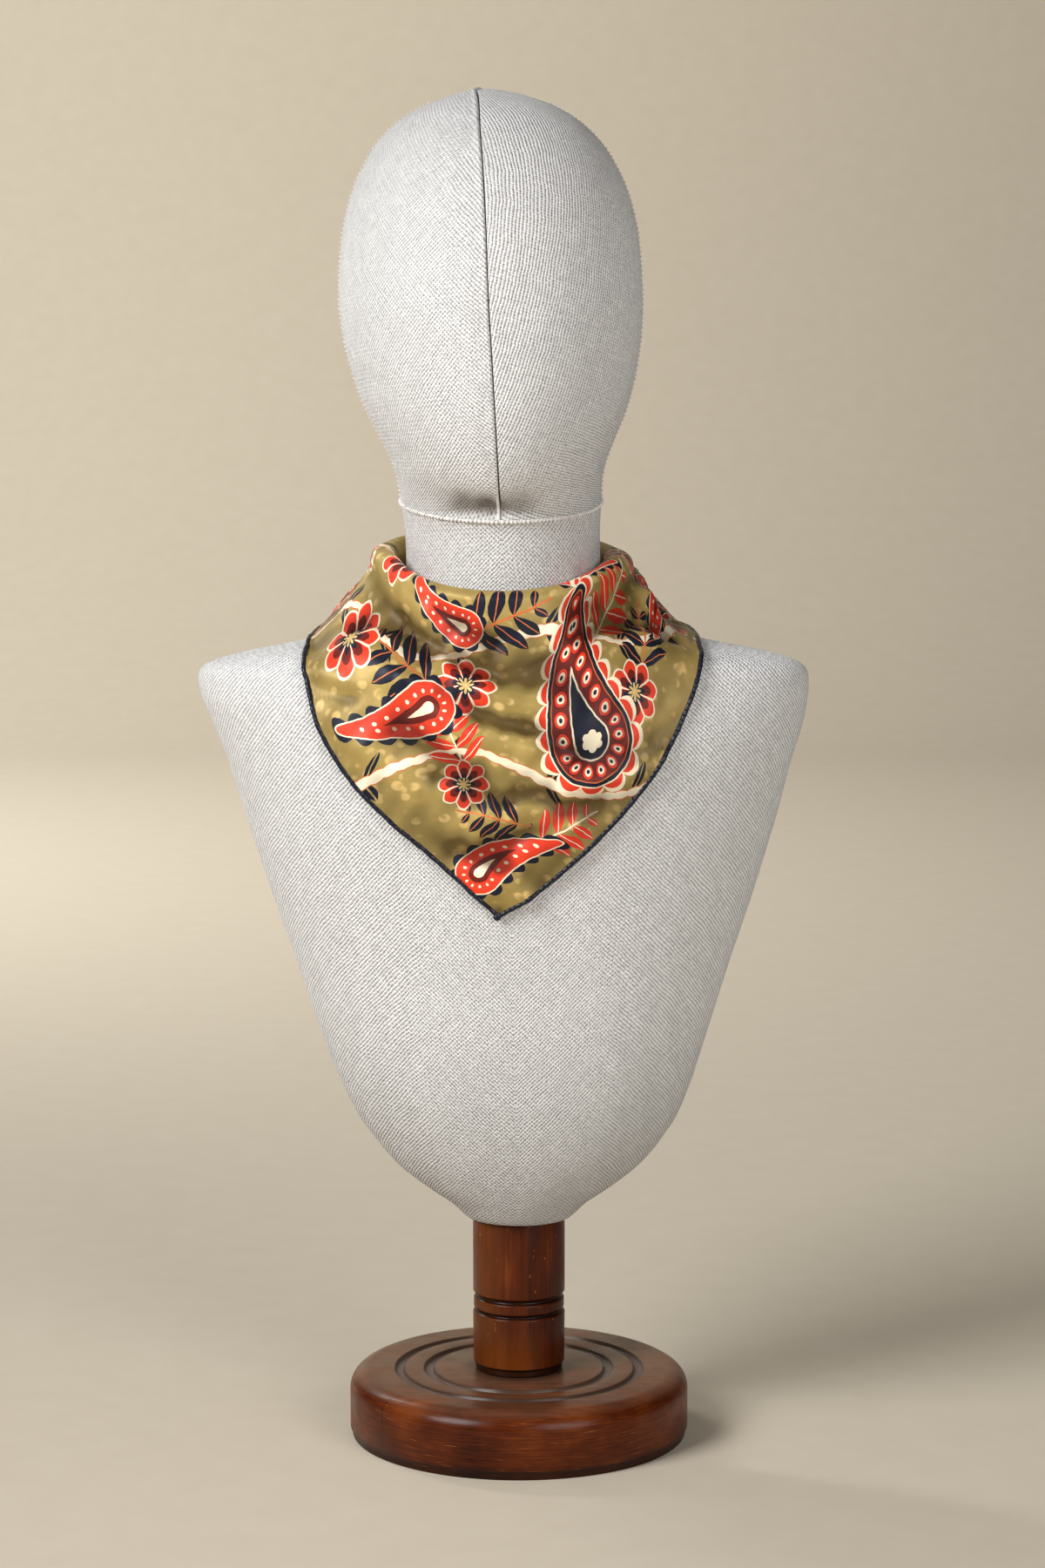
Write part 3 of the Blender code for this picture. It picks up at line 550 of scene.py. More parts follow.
def head_relief(points):
    """How far the head's cover is drawn in under the chin, as a negative lift that ends at the seam."""
    hollow = lift_of_lines(points[..., ::2], CHIN_HOLLOWS)
    above_seam = points[..., 2] / MM - CHIN_SEAM_HEIGHT + CHIN_DIP * (points[..., 1] < 0)
    return np.where(points[..., 1] < 0, hollow * ease(above_seam, 0.3, 4.0), 0.0)


print("hollows under the chin:", len(CHIN_HOLLOWS))

# %% [markdown]
# ## Sewing a panel
# A panel starts as the form's own surface. Its edges turn in and its relief sinks along the
# surface's normals. Its cloth coordinates are lengths from its middle column, turned by the grain.
# It is stretched over the core, so its flat size is its greatest length each way.

# %% Build the panels


def linen_panel(node, start, end, low, high, grain, mirrored):
    """One panel: the form's surface between two seams, sunk along its normals at the edges."""
    ring = end - start == 360
    on_head = node.startswith("head")
    turn, place = np.meshgrid(np.radians(panel_columns(start, end)), np.linspace(low, high, PANEL_ROWS))
    points = form_point(seam_turn(turn, place) if on_head else turn, place)
    normals = grid_normals(points)
    around, along = lengths_along(points, 1), lengths_along(points, 0)
    if ring:
        normals[:, 0] = normals[:, -1] = unit(normals[:, 0] + normals[:, -1])
    else:
        tangent = unit(np.gradient(points, axis=1))
        points[:, 0] += tangent[:, 0] * SEAM_GAP / 2
        points[:, -1] -= tangent[:, -1] * SEAM_GAP / 2
    sunk = turned_in(around, along, ring)
    if node == "head_front_left":
        beside = (around[:, -1:] - around - CREST_PLACE) / CREST_WIDTH
        raised = ease(points[..., 2] / MM, *CREST_FADE) * 0.7 + 0.3
        sunk = sunk - CREST_LIP * np.exp(-beside ** 2) * raised
    # the relief is kept for the linen's colour, which paints shade where a seam or hollow sinks
    relief = -sunk / SEAM_DEPTH
    if on_head:
        sunk = sunk - head_relief(points)
        relief = relief + head_relief(points) / DEEPEST_HOLLOW
    front = points - normals * sunk[..., None]
    uv = weave_map(around, along, grain, mirrored)
    piece = wall(node + "_linen", front, front - normals * LINEN_WALL, LINEN, uv, ring, relief)
    hand_in(piece, "linen", node)
    width, length, area = around.max(), along.max(), area_of(points)
    print(f"{node:18s} cut {width / MM:.0f} x {length / MM:.0f} mm, {area * 1e4:.0f} square cm")


for panel in PANELS:
    linen_panel(*panel)

# %% [markdown]
# ## Whip stitches
# The neck band is sewn to the head over its edge, so a row of short slanting stitches stands out
# round the throat, and finer ones follow the side seams. One stitch is a thread with its two ends
# in the cloth: a half ellipse. The row is that one shape, carried to every place by broadcasting.

# %% Stitch rows
THREAD_SIDES = 6
THREAD_RINGS = 7
# spacing, length, lift and thread radius in millimetres, then the slant in radians
CHIN_STITCH = (2.1, 2.7, 1.65, 0.5, 0.55)
SIDE_STITCH = (2.4, 2.2, 1.35, 0.4, 0.35)
THREAD_SHADE, THREAD_LIGHT = (0.62, 0.61, 0.59, 1), (0.90, 0.89, 0.87, 1)


def stitch_row(name, path, outward, stitch):
    """Stitches along a path: x = cos a, height = sin a on a half ellipse, carried by each frame."""
    spacing, length, lift, radius = (size * MM for size in stitch[:4])
    total = lengths_along(path[None], 1)[0]
    places = (np.arange(int(total[-1] / spacing)) + 0.5) * spacing

    def carried(values):
        """The path's values at the place of every stitch."""
        return np.stack([np.interp(places, total, values[:, axis]) for axis in range(3)], axis=-1)

    centre, up, ahead = carried(path), unit(carried(outward)), unit(carried(np.gradient(path, axis=0)))
    side = unit(np.cross(up, ahead))
    slant = stitch[4]
    lay = unit(side * np.cos(slant) + ahead * np.sin(slant))
    out = np.cross(lay, up)
    arc = np.linspace(0.0, np.pi, THREAD_RINGS)[:, None]
    turn = np.arange(THREAD_SIDES) * 2 * np.pi / THREAD_SIDES
    thick = radius * (0.35 + 0.65 * np.sin(arc))
    x = -np.cos(arc) * length / 2 + 0 * turn
    y = thick * np.sin(turn)
    z = np.sin(arc) * lift + thick * np.cos(turn)
    wobble = 1.0 + 0.22 * np.sin(places / MM * 2.3) + 0.13 * np.sin(places / MM * 5.1 + 1.0)
    points = centre[:, None, None] + lay[:, None, None] * (x[None, ..., None] * wobble[:, None, None, None])
    points = points + out[:, None, None] * y[None, ..., None] + up[:, None, None] * z[None, ..., None]
    number = np.arange(THREAD_RINGS * THREAD_SIDES).reshape(THREAD_RINGS, THREAD_SIDES)
    steps = np.arange(len(places))[:, None, None] * number.size
    faces = (grid_faces(np.hstack((number, number[:, :1])))[None] + steps).reshape(-1, 4)
    ends = np.concatenate((number[0][::-1] + steps[:, 0], number[-1] + steps[:, 0]))
    piece = make_piece(name, points, faces, THREAD, np.zeros((faces.size, 2)), ends.tolist())
    hand_in(piece, "linen")
    print(f"{name}: {len(places)} stitches, {len(piece.data.polygons)} faces")


def thread_finish():
    """Off-white linen thread with a fine twist."""
    board = Board("linen_thread")
    grain = board.noise(board.coordinates(), 900.0)
    colour = board.ramp(grain, (0.3, THREAD_SHADE), (0.7, THREAD_LIGHT))
    normal = board.bump(grain, 0.15 * MM, 0.7)
    return board.finish(Base_Color=colour, Roughness=0.85, Normal=normal, Specular_IOR_Level=0.25)


THREAD = thread_finish()
ring_turns = np.linspace(0.0, 2 * np.pi, 720)
# rows of FORM_RINGS that the ridge rises through, and how far beside the seam it lies, in radians
RIDGE_ROWS, RIDGE_SIDE = 3.6, -0.02


def along_form(turn, place, sink=0.0):
    """A line on the form and its outward directions, sunk below the linen's face."""
    points = form_point(turn, place)
    step = 0.01
    across = form_point(turn + step, place) - points
    above = np.minimum(place + step, crown)
    up = form_point(turn, above) - form_point(turn, above - step)
    outward = unit(np.cross(across, up))
    return points - outward * sink, outward


# the cord under the whip stitches, of uneven thickness
chin_line, chin_out = along_form(ring_turns, np.full_like(ring_turns, chin_seam), sink=0.7 * MM)
stitch_row("chin_stitches", chin_line, chin_out, CHIN_STITCH)
walk = lengths_along(chin_line[None], 1)[0] / MM
cord_radius = (0.82 + 0.11 * np.sin(walk * 2.4) + 0.09 * np.sin(walk * 1.1 + 1.0)) * MM
cord = tube("chin_cord", chin_line + chin_out * 0.45 * MM, chin_out, cord_radius, THREAD, sides=8)

# the raised end of the middle seam, just above the cord, which thins out as it rises
risen = np.linspace(0.0, 1.0, 40)
ridge_place = chin_seam + RIDGE_ROWS * risen
ridge_turn = seam_turn(np.full_like(risen, RIDGE_SIDE), ridge_place)
ridge_line, ridge_out = along_form(ridge_turn, ridge_place, sink=0.5 * MM)
ridge_line = ridge_line + ridge_out * head_relief(ridge_line)[:, None]
ridge = tube("chin_ridge", ridge_line, ridge_out, (0.95 - 0.65 * risen ** 2) * MM, THREAD, sides=10)
for piece in (cord, ridge):
    hand_in(piece, "linen")

side_places = np.linspace(chin_seam + 0.3, crown - 2.6, 500)
for side, turn in (("right", np.pi / 2), ("left", -np.pi / 2)):
    line, out = along_form(np.full_like(side_places, turn), side_places, sink=0.9 * MM)
    stitch_row("side_stitches_" + side, line, out, SIDE_STITCH)

# %% [markdown]
# ## Lacquered wood
# The stand is reddish-brown hardwood under a gloss lacquer. Wood grain is noise stretched along the
# fibres. The lacquer is a coat on the Principled shader, so the grain stays soft under a clear
# highlight, and small scratches and dust lift the roughness here and there.

# %% Wood finish
BASE_RADIUS, BASE_HEIGHT = 89.6, 34.5
# radii of the two ring grooves in the base's top, and their depth, in millimetres
GROOVES, GROOVE_DEPTH = ((60.6, 66.0), (44.7, 50.5)), 2.0
# height and half width of the post's dark rings, and the top of its foot, painted dark as shade where it
# stands in the base, in millimetres
POST_RINGS, POST_FOOT = ((67.1, 1.2), (74.8, 1.3)), 39.2
DARK_WOOD, MID_WOOD = (0.022, 0.0032, 0.0009, 1), (0.085, 0.0150, 0.0022, 1)
WARM_WOOD, DARKEST_WOOD = (0.20, 0.045, 0.0065, 1), (0.006, 0.003, 0.002, 1)
GLOWING_WOOD, LIT_SIDE_WOOD = (0.30, 0.080, 0.010, 1), (0.30, 0.088, 0.012, 1)
FLECK, SCRATCH = (0.42, 0.17, 0.05, 1), (0.40, 0.15, 0.045, 1)
DUSTY_WOOD, GREY_DUST_REFLECTION = (0.30, 0.19, 0.12, 1), (0.10, 0.085, 0.080, 1)


def lacquer(board, colour, grain, smears):
    """Clear coat over the wood, with smears and dust that make it duller here and there."""
    normal = board.bump(smears, 0.5 * MM, 0.15, board.bump(grain, 0.10 * MM, 0.4))
    return board.finish(
        Base_Color=colour, Roughness=board.fade(smears, 0.35, 0.75) * 0.2 + 0.3, Normal=normal,
        Specular_IOR_Level=0.06, Coat_Weight=0.24, Coat_Roughness=0.25)


def post_finish():
    """Upright grain: fine fibres, a dark streak right of the middle, and painted light in orange: on the left
    side, which faces the light, and low on the front.
    """
    board = Board("post_wood")
    place = board.coordinates()
    x, _, z = board.split(place)
    fibres = board.noise(board.scaled(place, (620.0, 620.0, 16.0)), 1.0, detail=4.0, roughness=0.6)
    broad = board.noise(board.scaled(place, (60.0, 60.0, 22.0)), 1.0, detail=3.0)
    colour = board.ramp(fibres * 0.4 + broad * 0.6, (0.34, DARK_WOOD), (0.74, WARM_WOOD), (0.56, MID_WOOD))
    off_streak = abs(x - 0.0075 - (z * 60.0).sin() * 0.0012)
    streak = board.fade(off_streak, 0.0045, 0.0005) * board.fade(fibres, 0.35, 0.6)
    # painted light: a lighter orange patch low on the front of the post
    glow = board.fade(z, 0.064, 0.040) * board.fade(abs(x + 0.002), 0.02, 0.004)
    flecks = board.noise(board.scaled(place, (500.0, 500.0, 240.0)), 1.0)
    # painted shade on the post's foot, where it stands in the base; the rings are darker lines in its two
    # grooves
    rings = z < POST_FOOT * MM
    for height, half_width in POST_RINGS:
        rings = rings | (abs(z - height * MM) < half_width * MM)
    colour = board.layers(
        colour, (DARK_WOOD, streak * 0.75), (GLOWING_WOOD, glow * 0.30),
        # painted light on the post's left side, which faces the light
        (LIT_SIDE_WOOD, board.fade(x, -0.005, -0.018) * 0.20),
        (FLECK, board.fade(flecks, 0.69, 0.76) * 0.55), (DARKEST_WOOD, rings * 0.85))
    return lacquer(board, colour, fibres, board.noise(place, 60.0, detail=4.0))


def base_finish():
    """Grain across the top, hairlines round the side, dark lines at the grooves' edges, painted shade at the
    foot and round the post's foot, and dust on the top.
    """
    board = Board("base_wood")
    place = board.coordinates()
    x, y, z = board.split(place)
    radius = x.hypot(y)
    walk = y.math("ARCTAN2", x) * BASE_RADIUS * MM
    wrapped = board.add("ShaderNodeCombineXYZ", {}, {0: walk, 1: z, 2: radius})
    fibres = board.noise(board.scaled(place, (14.0, 320.0, 60.0)), 1.0, detail=4.0, roughness=0.6)
    hairs = board.noise(board.scaled(wrapped, (75.0, 1500.0, 60.0)), 1.0, detail=3.0, roughness=0.65)
    broad = board.noise(place, 26.0, detail=3.0)
    on_side = board.fade(radius, 0.084, 0.088)
    grain = board.either(fibres, hairs, on_side)
    colour = board.ramp(grain * 0.42 + broad * 0.58, (0.33, DARK_WOOD), (0.70, WARM_WOOD), (0.5, MID_WOOD))
    colour = board.paint(colour, SCRATCH, board.fade(hairs, 0.66, 0.74) * on_side * 0.6)
    for offset in (0.012, -0.030):
        crack = board.fade(abs(y - x * 0.35 - offset), 0.0007, 0.0002)
        colour = board.paint(colour, DARK_WOOD, crack * 0.5)
    on_top = z > 0.0300
    for edge in np.ravel(GROOVES) * MM:
        line = board.fade(abs(radius - edge), 0.0011, 0.0004)
        colour = board.paint(colour, DARKEST_WOOD, line * on_top * 0.8)
    # painted shade: darker towards the bottom of the side, and darkest on the recessed foot
    foot_shade = board.fade(z + broad * 0.004, 0.0095, 0.0070) * 0.30
    dust = board.fade(z, 0.030, 0.0335) * (board.fade(y, -0.075, 0.015) * 0.22 + 0.11)
    # grey in the groove floors: dust, and a painted reflection of the room
    groove_floor = board.fade(z, 0.0334, 0.0330) * (radius < 0.070) * board.fade(z, 0.030, 0.0315)
    # painted shade on the base's top round the post's foot
    post_shade = board.fade(radius, 0.032, 0.0245) * 0.5
    colour = board.layers(
        colour, (DARKEST_WOOD, foot_shade | (z < 0.0048) * 0.75), (DUSTY_WOOD, dust),
        (GREY_DUST_REFLECTION, groove_floor * 0.6), (DARKEST_WOOD, post_shade * on_top))
    return lacquer(board, colour, grain, board.noise(place, 55.0, detail=4.0))


POST_WOOD, BASE_WOOD = post_finish(), base_finish()
print("wood nodes:", [len(wood.node_tree.nodes) for wood in (POST_WOOD, BASE_WOOD)])

# %% [markdown]
# ## Turned base and post
# Anything made on a lathe is a profile carried round an axis. The profiles keep the same radii and
# heights as the solids they replace, with round edges where the tool and the sanding left them.

# %% Turn the stand
TURNED_SIDES = 180
SHARP_DEGREES = 50
EDGE_RADIUS = 10.2
# radius and height of each corner of the post's outline, in millimetres
POST_PROFILE = (
    (20.0, 34.8), (23.1, 34.8), (23.1, 38.0), (24.1, 38.8), (24.3, 65.6), (22.6, 66.6), (23.0, 67.6),
    (23.9, 68.2), (23.9, 73.2), (22.4, 74.2), (22.4, 75.4), (24.3, 76.6), (24.3, 116.7), (20.0, 116.7),
)


def rounded(profile, radius, steps=4):
    """The profile with each corner replaced by a quadratic arc that starts a radius before it.

    A point of the arc is (1-s) squared times its start, plus 2s(1-s) times the corner, plus s
    squared times its end.
    """
    profile = np.array(profile)
    before, corner, after = profile[:-2], profile[1:-1], profile[2:]
    reach_in = np.minimum(radius, np.linalg.norm(corner - before, axis=1) * 0.45)[:, None]
    reach_out = np.minimum(radius, np.linalg.norm(after - corner, axis=1) * 0.45)[:, None]
    start = corner + unit(before - corner) * reach_in
    end = corner + unit(after - corner) * reach_out
    share = np.linspace(0.0, 1.0, steps)[None, :, None]
    arcs = (1 - share) ** 2 * start[:, None] + 2 * share * (1 - share) * corner[:, None]
    arcs = arcs + share ** 2 * end[:, None]
    return np.concatenate((profile[:1], arcs.reshape(-1, 2), profile[-1:]))


def turned(name, node, profile, finish):
    """A solid of revolution: (r cos a, r sin a, z) for every profile point and every angle."""
    turn = np.linspace(0.0, 2 * np.pi, TURNED_SIDES + 1)
    radius, height = profile[:, :1] * MM, profile[:, 1:] * MM
    points = np.stack((radius * np.cos(turn), radius * np.sin(turn), height + 0 * turn), axis=-1)
    piece = closed(name, points, finish)
    piece.data.set_sharp_from_angle(angle=np.radians(SHARP_DEGREES))
    hand_in(piece, "wood", node)
    return piece


def base_profile():
    """Foot, upright side, quarter-round edge, then the top with its two flat-bottomed grooves."""
    edge = np.linspace(0.0, np.pi / 2, 16)[:, None]
    shoulder = np.hstack((
        BASE_RADIUS - EDGE_RADIUS * (1 - np.cos(edge)), BASE_HEIGHT - EDGE_RADIUS * (1 - np.sin(edge))))
    floor = BASE_HEIGHT - GROOVE_DEPTH
    top = []
    for inner, outer in GROOVES:
        top += [(outer, BASE_HEIGHT), (outer - 0.8, floor), (inner + 0.8, floor), (inner, BASE_HEIGHT)]
    foot = [(60.0, 0.0), (BASE_RADIUS - 1.2, 0.0), (BASE_RADIUS - 0.9, 3.6), (BASE_RADIUS, 4.5)]
    return np.concatenate((rounded(foot, 0.5), shoulder, rounded([*top, (20.0, BASE_HEIGHT)], 0.45)))


base = turned("turned_base", "base", base_profile(), BASE_WOOD)
post = turned("turned_post", "post", rounded(POST_PROFILE, 0.6), POST_WOOD)
print("base", len(base.data.polygons), "faces; post", len(post.data.polygons), "faces")

# %% [markdown]
# ## The hidden core
# Under the linen the form is one moulded piece. Nothing of it shows. The cover is drawn in under the
# chin, so the core is built again a little smaller than the measured solid, and stays clear of it.

# %% Core
CORE_INSET = 10.5 * MM
DARK_BOARD, PALE_BOARD = (0.36, 0.31, 0.25, 1), (0.50, 0.45, 0.38, 1)


def core_finish():
    """Mottled grey-brown moulded board."""
    board = Board("moulded_core")
    mottle = board.noise(board.coordinates(), 60.0, detail=4.0)
    colour = board.ramp(mottle, (0.3, DARK_BOARD), (0.7, PALE_BOARD))
    return board.finish(Base_Color=colour, Roughness=0.95, Normal=board.bump(mottle, 0.4 * MM, 0.6))


def moulded_core():
    """The form's rings, each point moved in along the surface's normal by the inset."""
    turn, place = np.meshgrid(np.linspace(0.0, 2 * np.pi, 97), np.linspace(3.0, crown - 3.0, 130))
    points = form_point(turn, place)
    normals = grid_normals(points)
    normals[:, 0] = normals[:, -1] = unit(normals[:, 0] + normals[:, -1])
    return closed("moulded_core", points - normals * CORE_INSET, core_finish())


core = moulded_core()
hand_in(core, "core", "form_core")
print("core", len(core.data.polygons), "faces")

# %% [markdown]
# ## How far a point is from the form
# Cloth lies on the linen and never in it. Every section of the form is an ellipse, so a point's
# level, its distance over the ellipse's, says whether it is outside. The slope of that level says
# which way out is, and the level over its slope is nearly the distance in metres.

# %% Distances from the form


def form_sections():
    """Heights of the form with half width, front and back depth and centre, densely sampled."""
    return smooth_rows(FORM_RINGS, np.linspace(0.0, len(FORM_RINGS) - 1.0, 1500))[:, :5].T * MM


FORM_SECTIONS = form_sections()


def form_level(points):
    """How far outside the form: the point's distance over the ellipse's, less one."""
    heights, *columns = FORM_SECTIONS
    half_width, front, back, centre = (np.interp(points[..., 2], heights, column) for column in columns)
    depth = np.where(points[..., 1] < 0, front, back)
    return np.hypot((points[..., 0] - centre) / half_width, points[..., 1] / depth) - 1


def clear_of_form(points, clearance, softness):
    """Points moved out along the level's slope until they stand at least the clearance off."""
    reach = 0.2 * MM
    for _ in range(3):
        steps = np.eye(3) * reach
        rises = [form_level(points + step) - form_level(points - step) for step in steps]
        slope = np.stack(rises, axis=-1) / (2 * reach)
        steepness = np.linalg.norm(slope, axis=-1)
        distance = form_level(points) / steepness
        push = softness * (np.logaddexp(0.0, (clearance - distance) / softness) - np.log(2))
        points = points + (slope / steepness[..., None]) * np.maximum(push, 0.0)[..., None]
    return points


def neck_reach(degrees, height):
    """Distance from the neck's axis to the linen in a direction, at a height."""
    heights, half_widths, fronts, backs, _ = FORM_SECTIONS
    turn = np.radians(degrees)
    depth = np.where(np.cos(turn) > 0, np.interp(height, heights, fronts), np.interp(height, heights, backs))
    return 1 / np.hypot(np.sin(turn) / np.interp(height, heights, half_widths), np.cos(turn) / depth)


print("neck reach in front at 460 mm:", (neck_reach(0.0, 460 * MM) / MM).round(1), "mm")

# %% [markdown]
# ## The scarf's form
# The cloth is a bundle of ribs. Each rib starts at the turned-in edge, goes over the fold at the
# neckline as a half circle, and falls to its foot on the hem along a cubic curve with a handle at
# each end. The table says, for each direction round the neck, where the fold and the foot are.

# %% Ribs and folds
NECK_X = -7.9 * MM
CLOTH_WALL = 1.6 * MM
CLOTH_CLEARANCE = 3.0 * MM
TURN_IN_DEPTH = 19.0 * MM
HEM_RADIUS = 1.25 * MM
ROLL_SHARE = 0.09
# shares of a rib's drop and spread: how far its curve hangs down, leans in at the foot and rises there
FALL_HANDLES = (0.35, 0.35, 0.22)
SCARF_END = 167.0
# direction of the crest in degrees, its height, gap to the neck, radius of the roll, then the
# direction, distance and height of the rib's foot, in millimetres
SCARF_RIBS = np.array((
    (-167.0, 477.5, 2.5, 6.0, -167.0, 69.0, 454.0), (-150.0, 476.5, 3.5, 6.0, -146.0, 75.5, 446.0),
    (-132.0, 474.5, 4.5, 6.0, -126.0, 83.5, 437.5), (-112.0, 472.0, 5.0, 6.2, -103.0, 93.5, 429.5),
    (-92.0, 470.5, 5.0, 6.3, -80.0, 99.0, 425.0), (-80.0, 468.5, 4.8, 6.2, -68.0, 107.0, 419.5),
    (-70.0, 467.0, 4.0, 6.0, -60.3, 112.4, 407.0), (-60.0, 463.0, 3.0, 5.9, -54.5, 110.2, 381.0),
    (-50.0, 459.5, 2.0, 5.8, -47.0, 101.5, 357.0), (-38.0, 456.0, 1.2, 5.6, -37.5, 92.0, 338.5),
    (-25.0, 453.5, 0.8, 5.4, -27.0, 84.5, 324.0), (-12.0, 452.0, 0.6, 5.2, -15.0, 78.5, 308.0),
    (0.0, 451.5, 0.6, 5.2, -1.6, 74.9, 290.9),
    (12.0, 452.2, 0.6, 5.3, 11.0, 77.5, 301.5), (25.0, 454.0, 0.7, 5.5, 22.0, 82.5, 315.0),
    (38.0, 457.0, 0.9, 5.9, 33.0, 90.2, 332.0), (50.0, 460.3, 1.0, 6.3, 42.5, 99.0, 352.0),
    (60.0, 463.0, 1.2, 6.7, 50.0, 106.8, 374.0), (70.0, 466.0, 1.3, 7.0, 57.0, 111.0, 398.5),
    (80.0, 466.5, 1.3, 7.2, 65.5, 108.5, 418.5), (92.0, 467.5, 1.5, 7.2, 78.0, 100.0, 425.0),
    (112.0, 468.5, 2.0, 7.0, 102.0, 94.5, 428.5), (132.0, 471.5, 2.5, 6.6, 126.0, 84.0, 437.0),
    (150.0, 475.0, 3.0, 6.2, 146.0, 76.0, 446.0), (167.0, 477.5, 2.5, 6.0, 167.0, 69.0, 454.0),
))
TIP_RIB = 12


def rib_values(crest_degrees):
    """The seven values of a rib in any direction; the two sides are curves that meet at the tip."""
    left, right = SCARF_RIBS[:TIP_RIB + 1], SCARF_RIBS[TIP_RIB:]
    left_place = np.interp(crest_degrees, left[:, 0], np.arange(len(left)))
    right_place = np.interp(crest_degrees, right[:, 0], np.arange(len(right)))
    on_left = (crest_degrees < 0)[..., None]
    values = np.where(on_left, smooth_rows(left, left_place), smooth_rows(right, right_place))
    return np.moveaxis(values, -1, 0)


def rib_point(crest_degrees, share):
    """Point of the plain cloth: share -1 is the turned-in edge, 0 the crest and 1 the hem."""
    crest_turn, crest, gap, roll, foot_turn, foot_reach, foot = rib_values(crest_degrees)
    crest, gap, roll, foot_reach, foot = (value * MM for value in (crest, gap, roll, foot_reach, foot))
    axis_height = crest - roll
    axis_reach = neck_reach(crest_turn, axis_height) + gap + CLOTH_WALL / 2 + roll
    roll_turn = np.clip(share / ROLL_SHARE, -1.0, 1.0) * np.pi / 2
    reach = axis_reach + roll * np.sin(roll_turn)
    height = axis_height + roll * np.cos(roll_turn)
    inside = np.clip((-share - ROLL_SHARE) / (1 - ROLL_SHARE), 0.0, 1.0)
    inner_height = height - inside * TURN_IN_DEPTH
    inner_reach = reach + neck_reach(crest_turn, inner_height) - neck_reach(crest_turn, axis_height)
    fall = np.clip((share - ROLL_SHARE) / (1 - ROLL_SHARE), 0.0, 1.0)
    top = axis_reach + roll
    hang, lean, rise = FALL_HANDLES
    drop, spread = axis_height - foot, foot_reach - top
    weights = ((1 - fall) ** 3, 3 * fall * (1 - fall) ** 2, 3 * fall ** 2 * (1 - fall), fall ** 3)
    reaches = (top, top, foot_reach - lean * spread, foot_reach)
    heights = (axis_height, axis_height - hang * drop, foot + rise * drop, foot)
    falling = share > ROLL_SHARE
    fallen_reach = sum(weight * value for weight, value in zip(weights, reaches))
    fallen_height = sum(weight * value for weight, value in zip(weights, heights))
    reach = np.where(falling, fallen_reach, np.where(share < 0, inner_reach, reach))
    height = np.where(falling, fallen_height, np.where(share < 0, inner_height, height))
    turn = np.radians(crest_turn + (foot_turn - crest_turn) * fall)
    return np.stack((NECK_X + reach * np.sin(turn), -reach * np.cos(turn), height), axis=-1)


print("ribs:", len(SCARF_RIBS), "with the point at number", TIP_RIB)

# %% [markdown]
# ## Creases and pleats
# A tied square falls in soft diagonal creases from the shoulders to the point. Each is a line on the
# cloth with a bell curve across it, as on the head's cover, lifted or sunk along the normals. After
# that the cloth is moved clear of the linen once more, so that no trough cuts into it.

# %% Creases and the draped cloth
# start and end of each crease as (direction in degrees, height), half width, lift (- for a trough),
# with lengths in millimetres
CREASES = (
    (-68.0, 449.0, -50.0, 436.0, 6.0, -1.1), (-50.0, 436.0, -31.0, 422.0, 7.0, -1.5),
    (-56.0, 455.0, -34.0, 440.0, 6.0, 3.0), (-70.0, 424.0, -62.0, 408.0, 7.0, -2.2),
    (-60.0, 427.0, -37.0, 407.0, 8.5, 4.2), (-37.0, 407.0, -17.0, 386.0, 7.0, 3.6),
    (-28.0, 444.0, -4.0, 427.0, 7.5, -3.0), (-18.0, 417.0, -5.0, 411.0, 5.0, -1.8),
    (-26.0, 411.5, -7.0, 401.0, 6.0, 3.6), (-7.0, 401.0, 12.0, 394.0, 6.0, 2.6),
    (-11.0, 393.0, 8.0, 384.0, 4.5, -1.8), (8.0, 384.0, 26.0, 370.0, 5.0, -1.8),
    (-13.0, 380.0, 9.0, 374.0, 6.5, 3.4), (9.0, 374.0, 24.0, 360.0, 7.0, 2.4),
    (22.0, 353.0, 42.0, 362.0, 6.0, 3.4), (-11.0, 351.0, 3.0, 350.0, 7.0, -1.8),
    (-9.0, 338.0, 12.0, 344.0, 6.5, 2.4), (-20.0, 325.0, -3.0, 322.0, 6.5, -1.6),
    (-60.0, 403.0, -50.0, 399.0, 4.0, -2.4), (-62.0, 412.0, -50.0, 405.0, 5.0, 2.0),
    (39.0, 362.0, 49.0, 374.0, 5.0, -2.2), (49.0, 378.0, 54.0, 389.0, 4.5, -2.0),
    (46.0, 366.0, 58.0, 382.0, 4.5, 2.2), (88.0, 438.0, 68.0, 427.0, 6.5, -2.8),
    (104.0, 458.0, 73.0, 444.0, 5.0, 3.6), (73.0, 444.0, 56.0, 422.0, 5.5, 3.8),
    (18.0, 451.0, 46.0, 445.0, 6.0, -2.2), (20.0, 430.0, 44.0, 404.0, 10.0, 2.6),
    (-44.0, 372.0, -28.0, 352.0, 7.0, 2.4), (8.0, 322.0, 22.0, 334.0, 6.0, 2.2),
    (-34.0, 384.0, -16.0, 366.0, 5.5, -2.4), (-24.0, 360.0, -8.0, 362.0, 5.5, -2.2),
    (12.0, 351.0, 30.0, 346.0, 6.0, -2.4), (-6.0, 329.0, 14.0, 333.0, 5.0, -1.5),
    (-14.0, 312.0, 4.0, 309.0, 5.0, 2.4), (-10.0, 303.0, 8.0, 299.0, 5.5, 2.0),
    (-84.0, 452.0, -70.0, 436.0, 6.0, 2.4), (-112.0, 466.0, -98.0, 440.0, 7.5, 2.8),
    (-126.0, 462.0, -112.0, 438.0, 5.5, -2.4), (-146.0, 468.0, -130.0, 446.0, 6.0, 2.2),
    (120.0, 464.0, 108.0, 438.0, 7.0, 2.8), (134.0, 466.0, 124.0, 444.0, 5.5, -2.4),
    (150.0, 470.0, 138.0, 448.0, 5.5, 2.1), (96.0, 452.0, 90.0, 434.0, 5.0, -2.0),
)
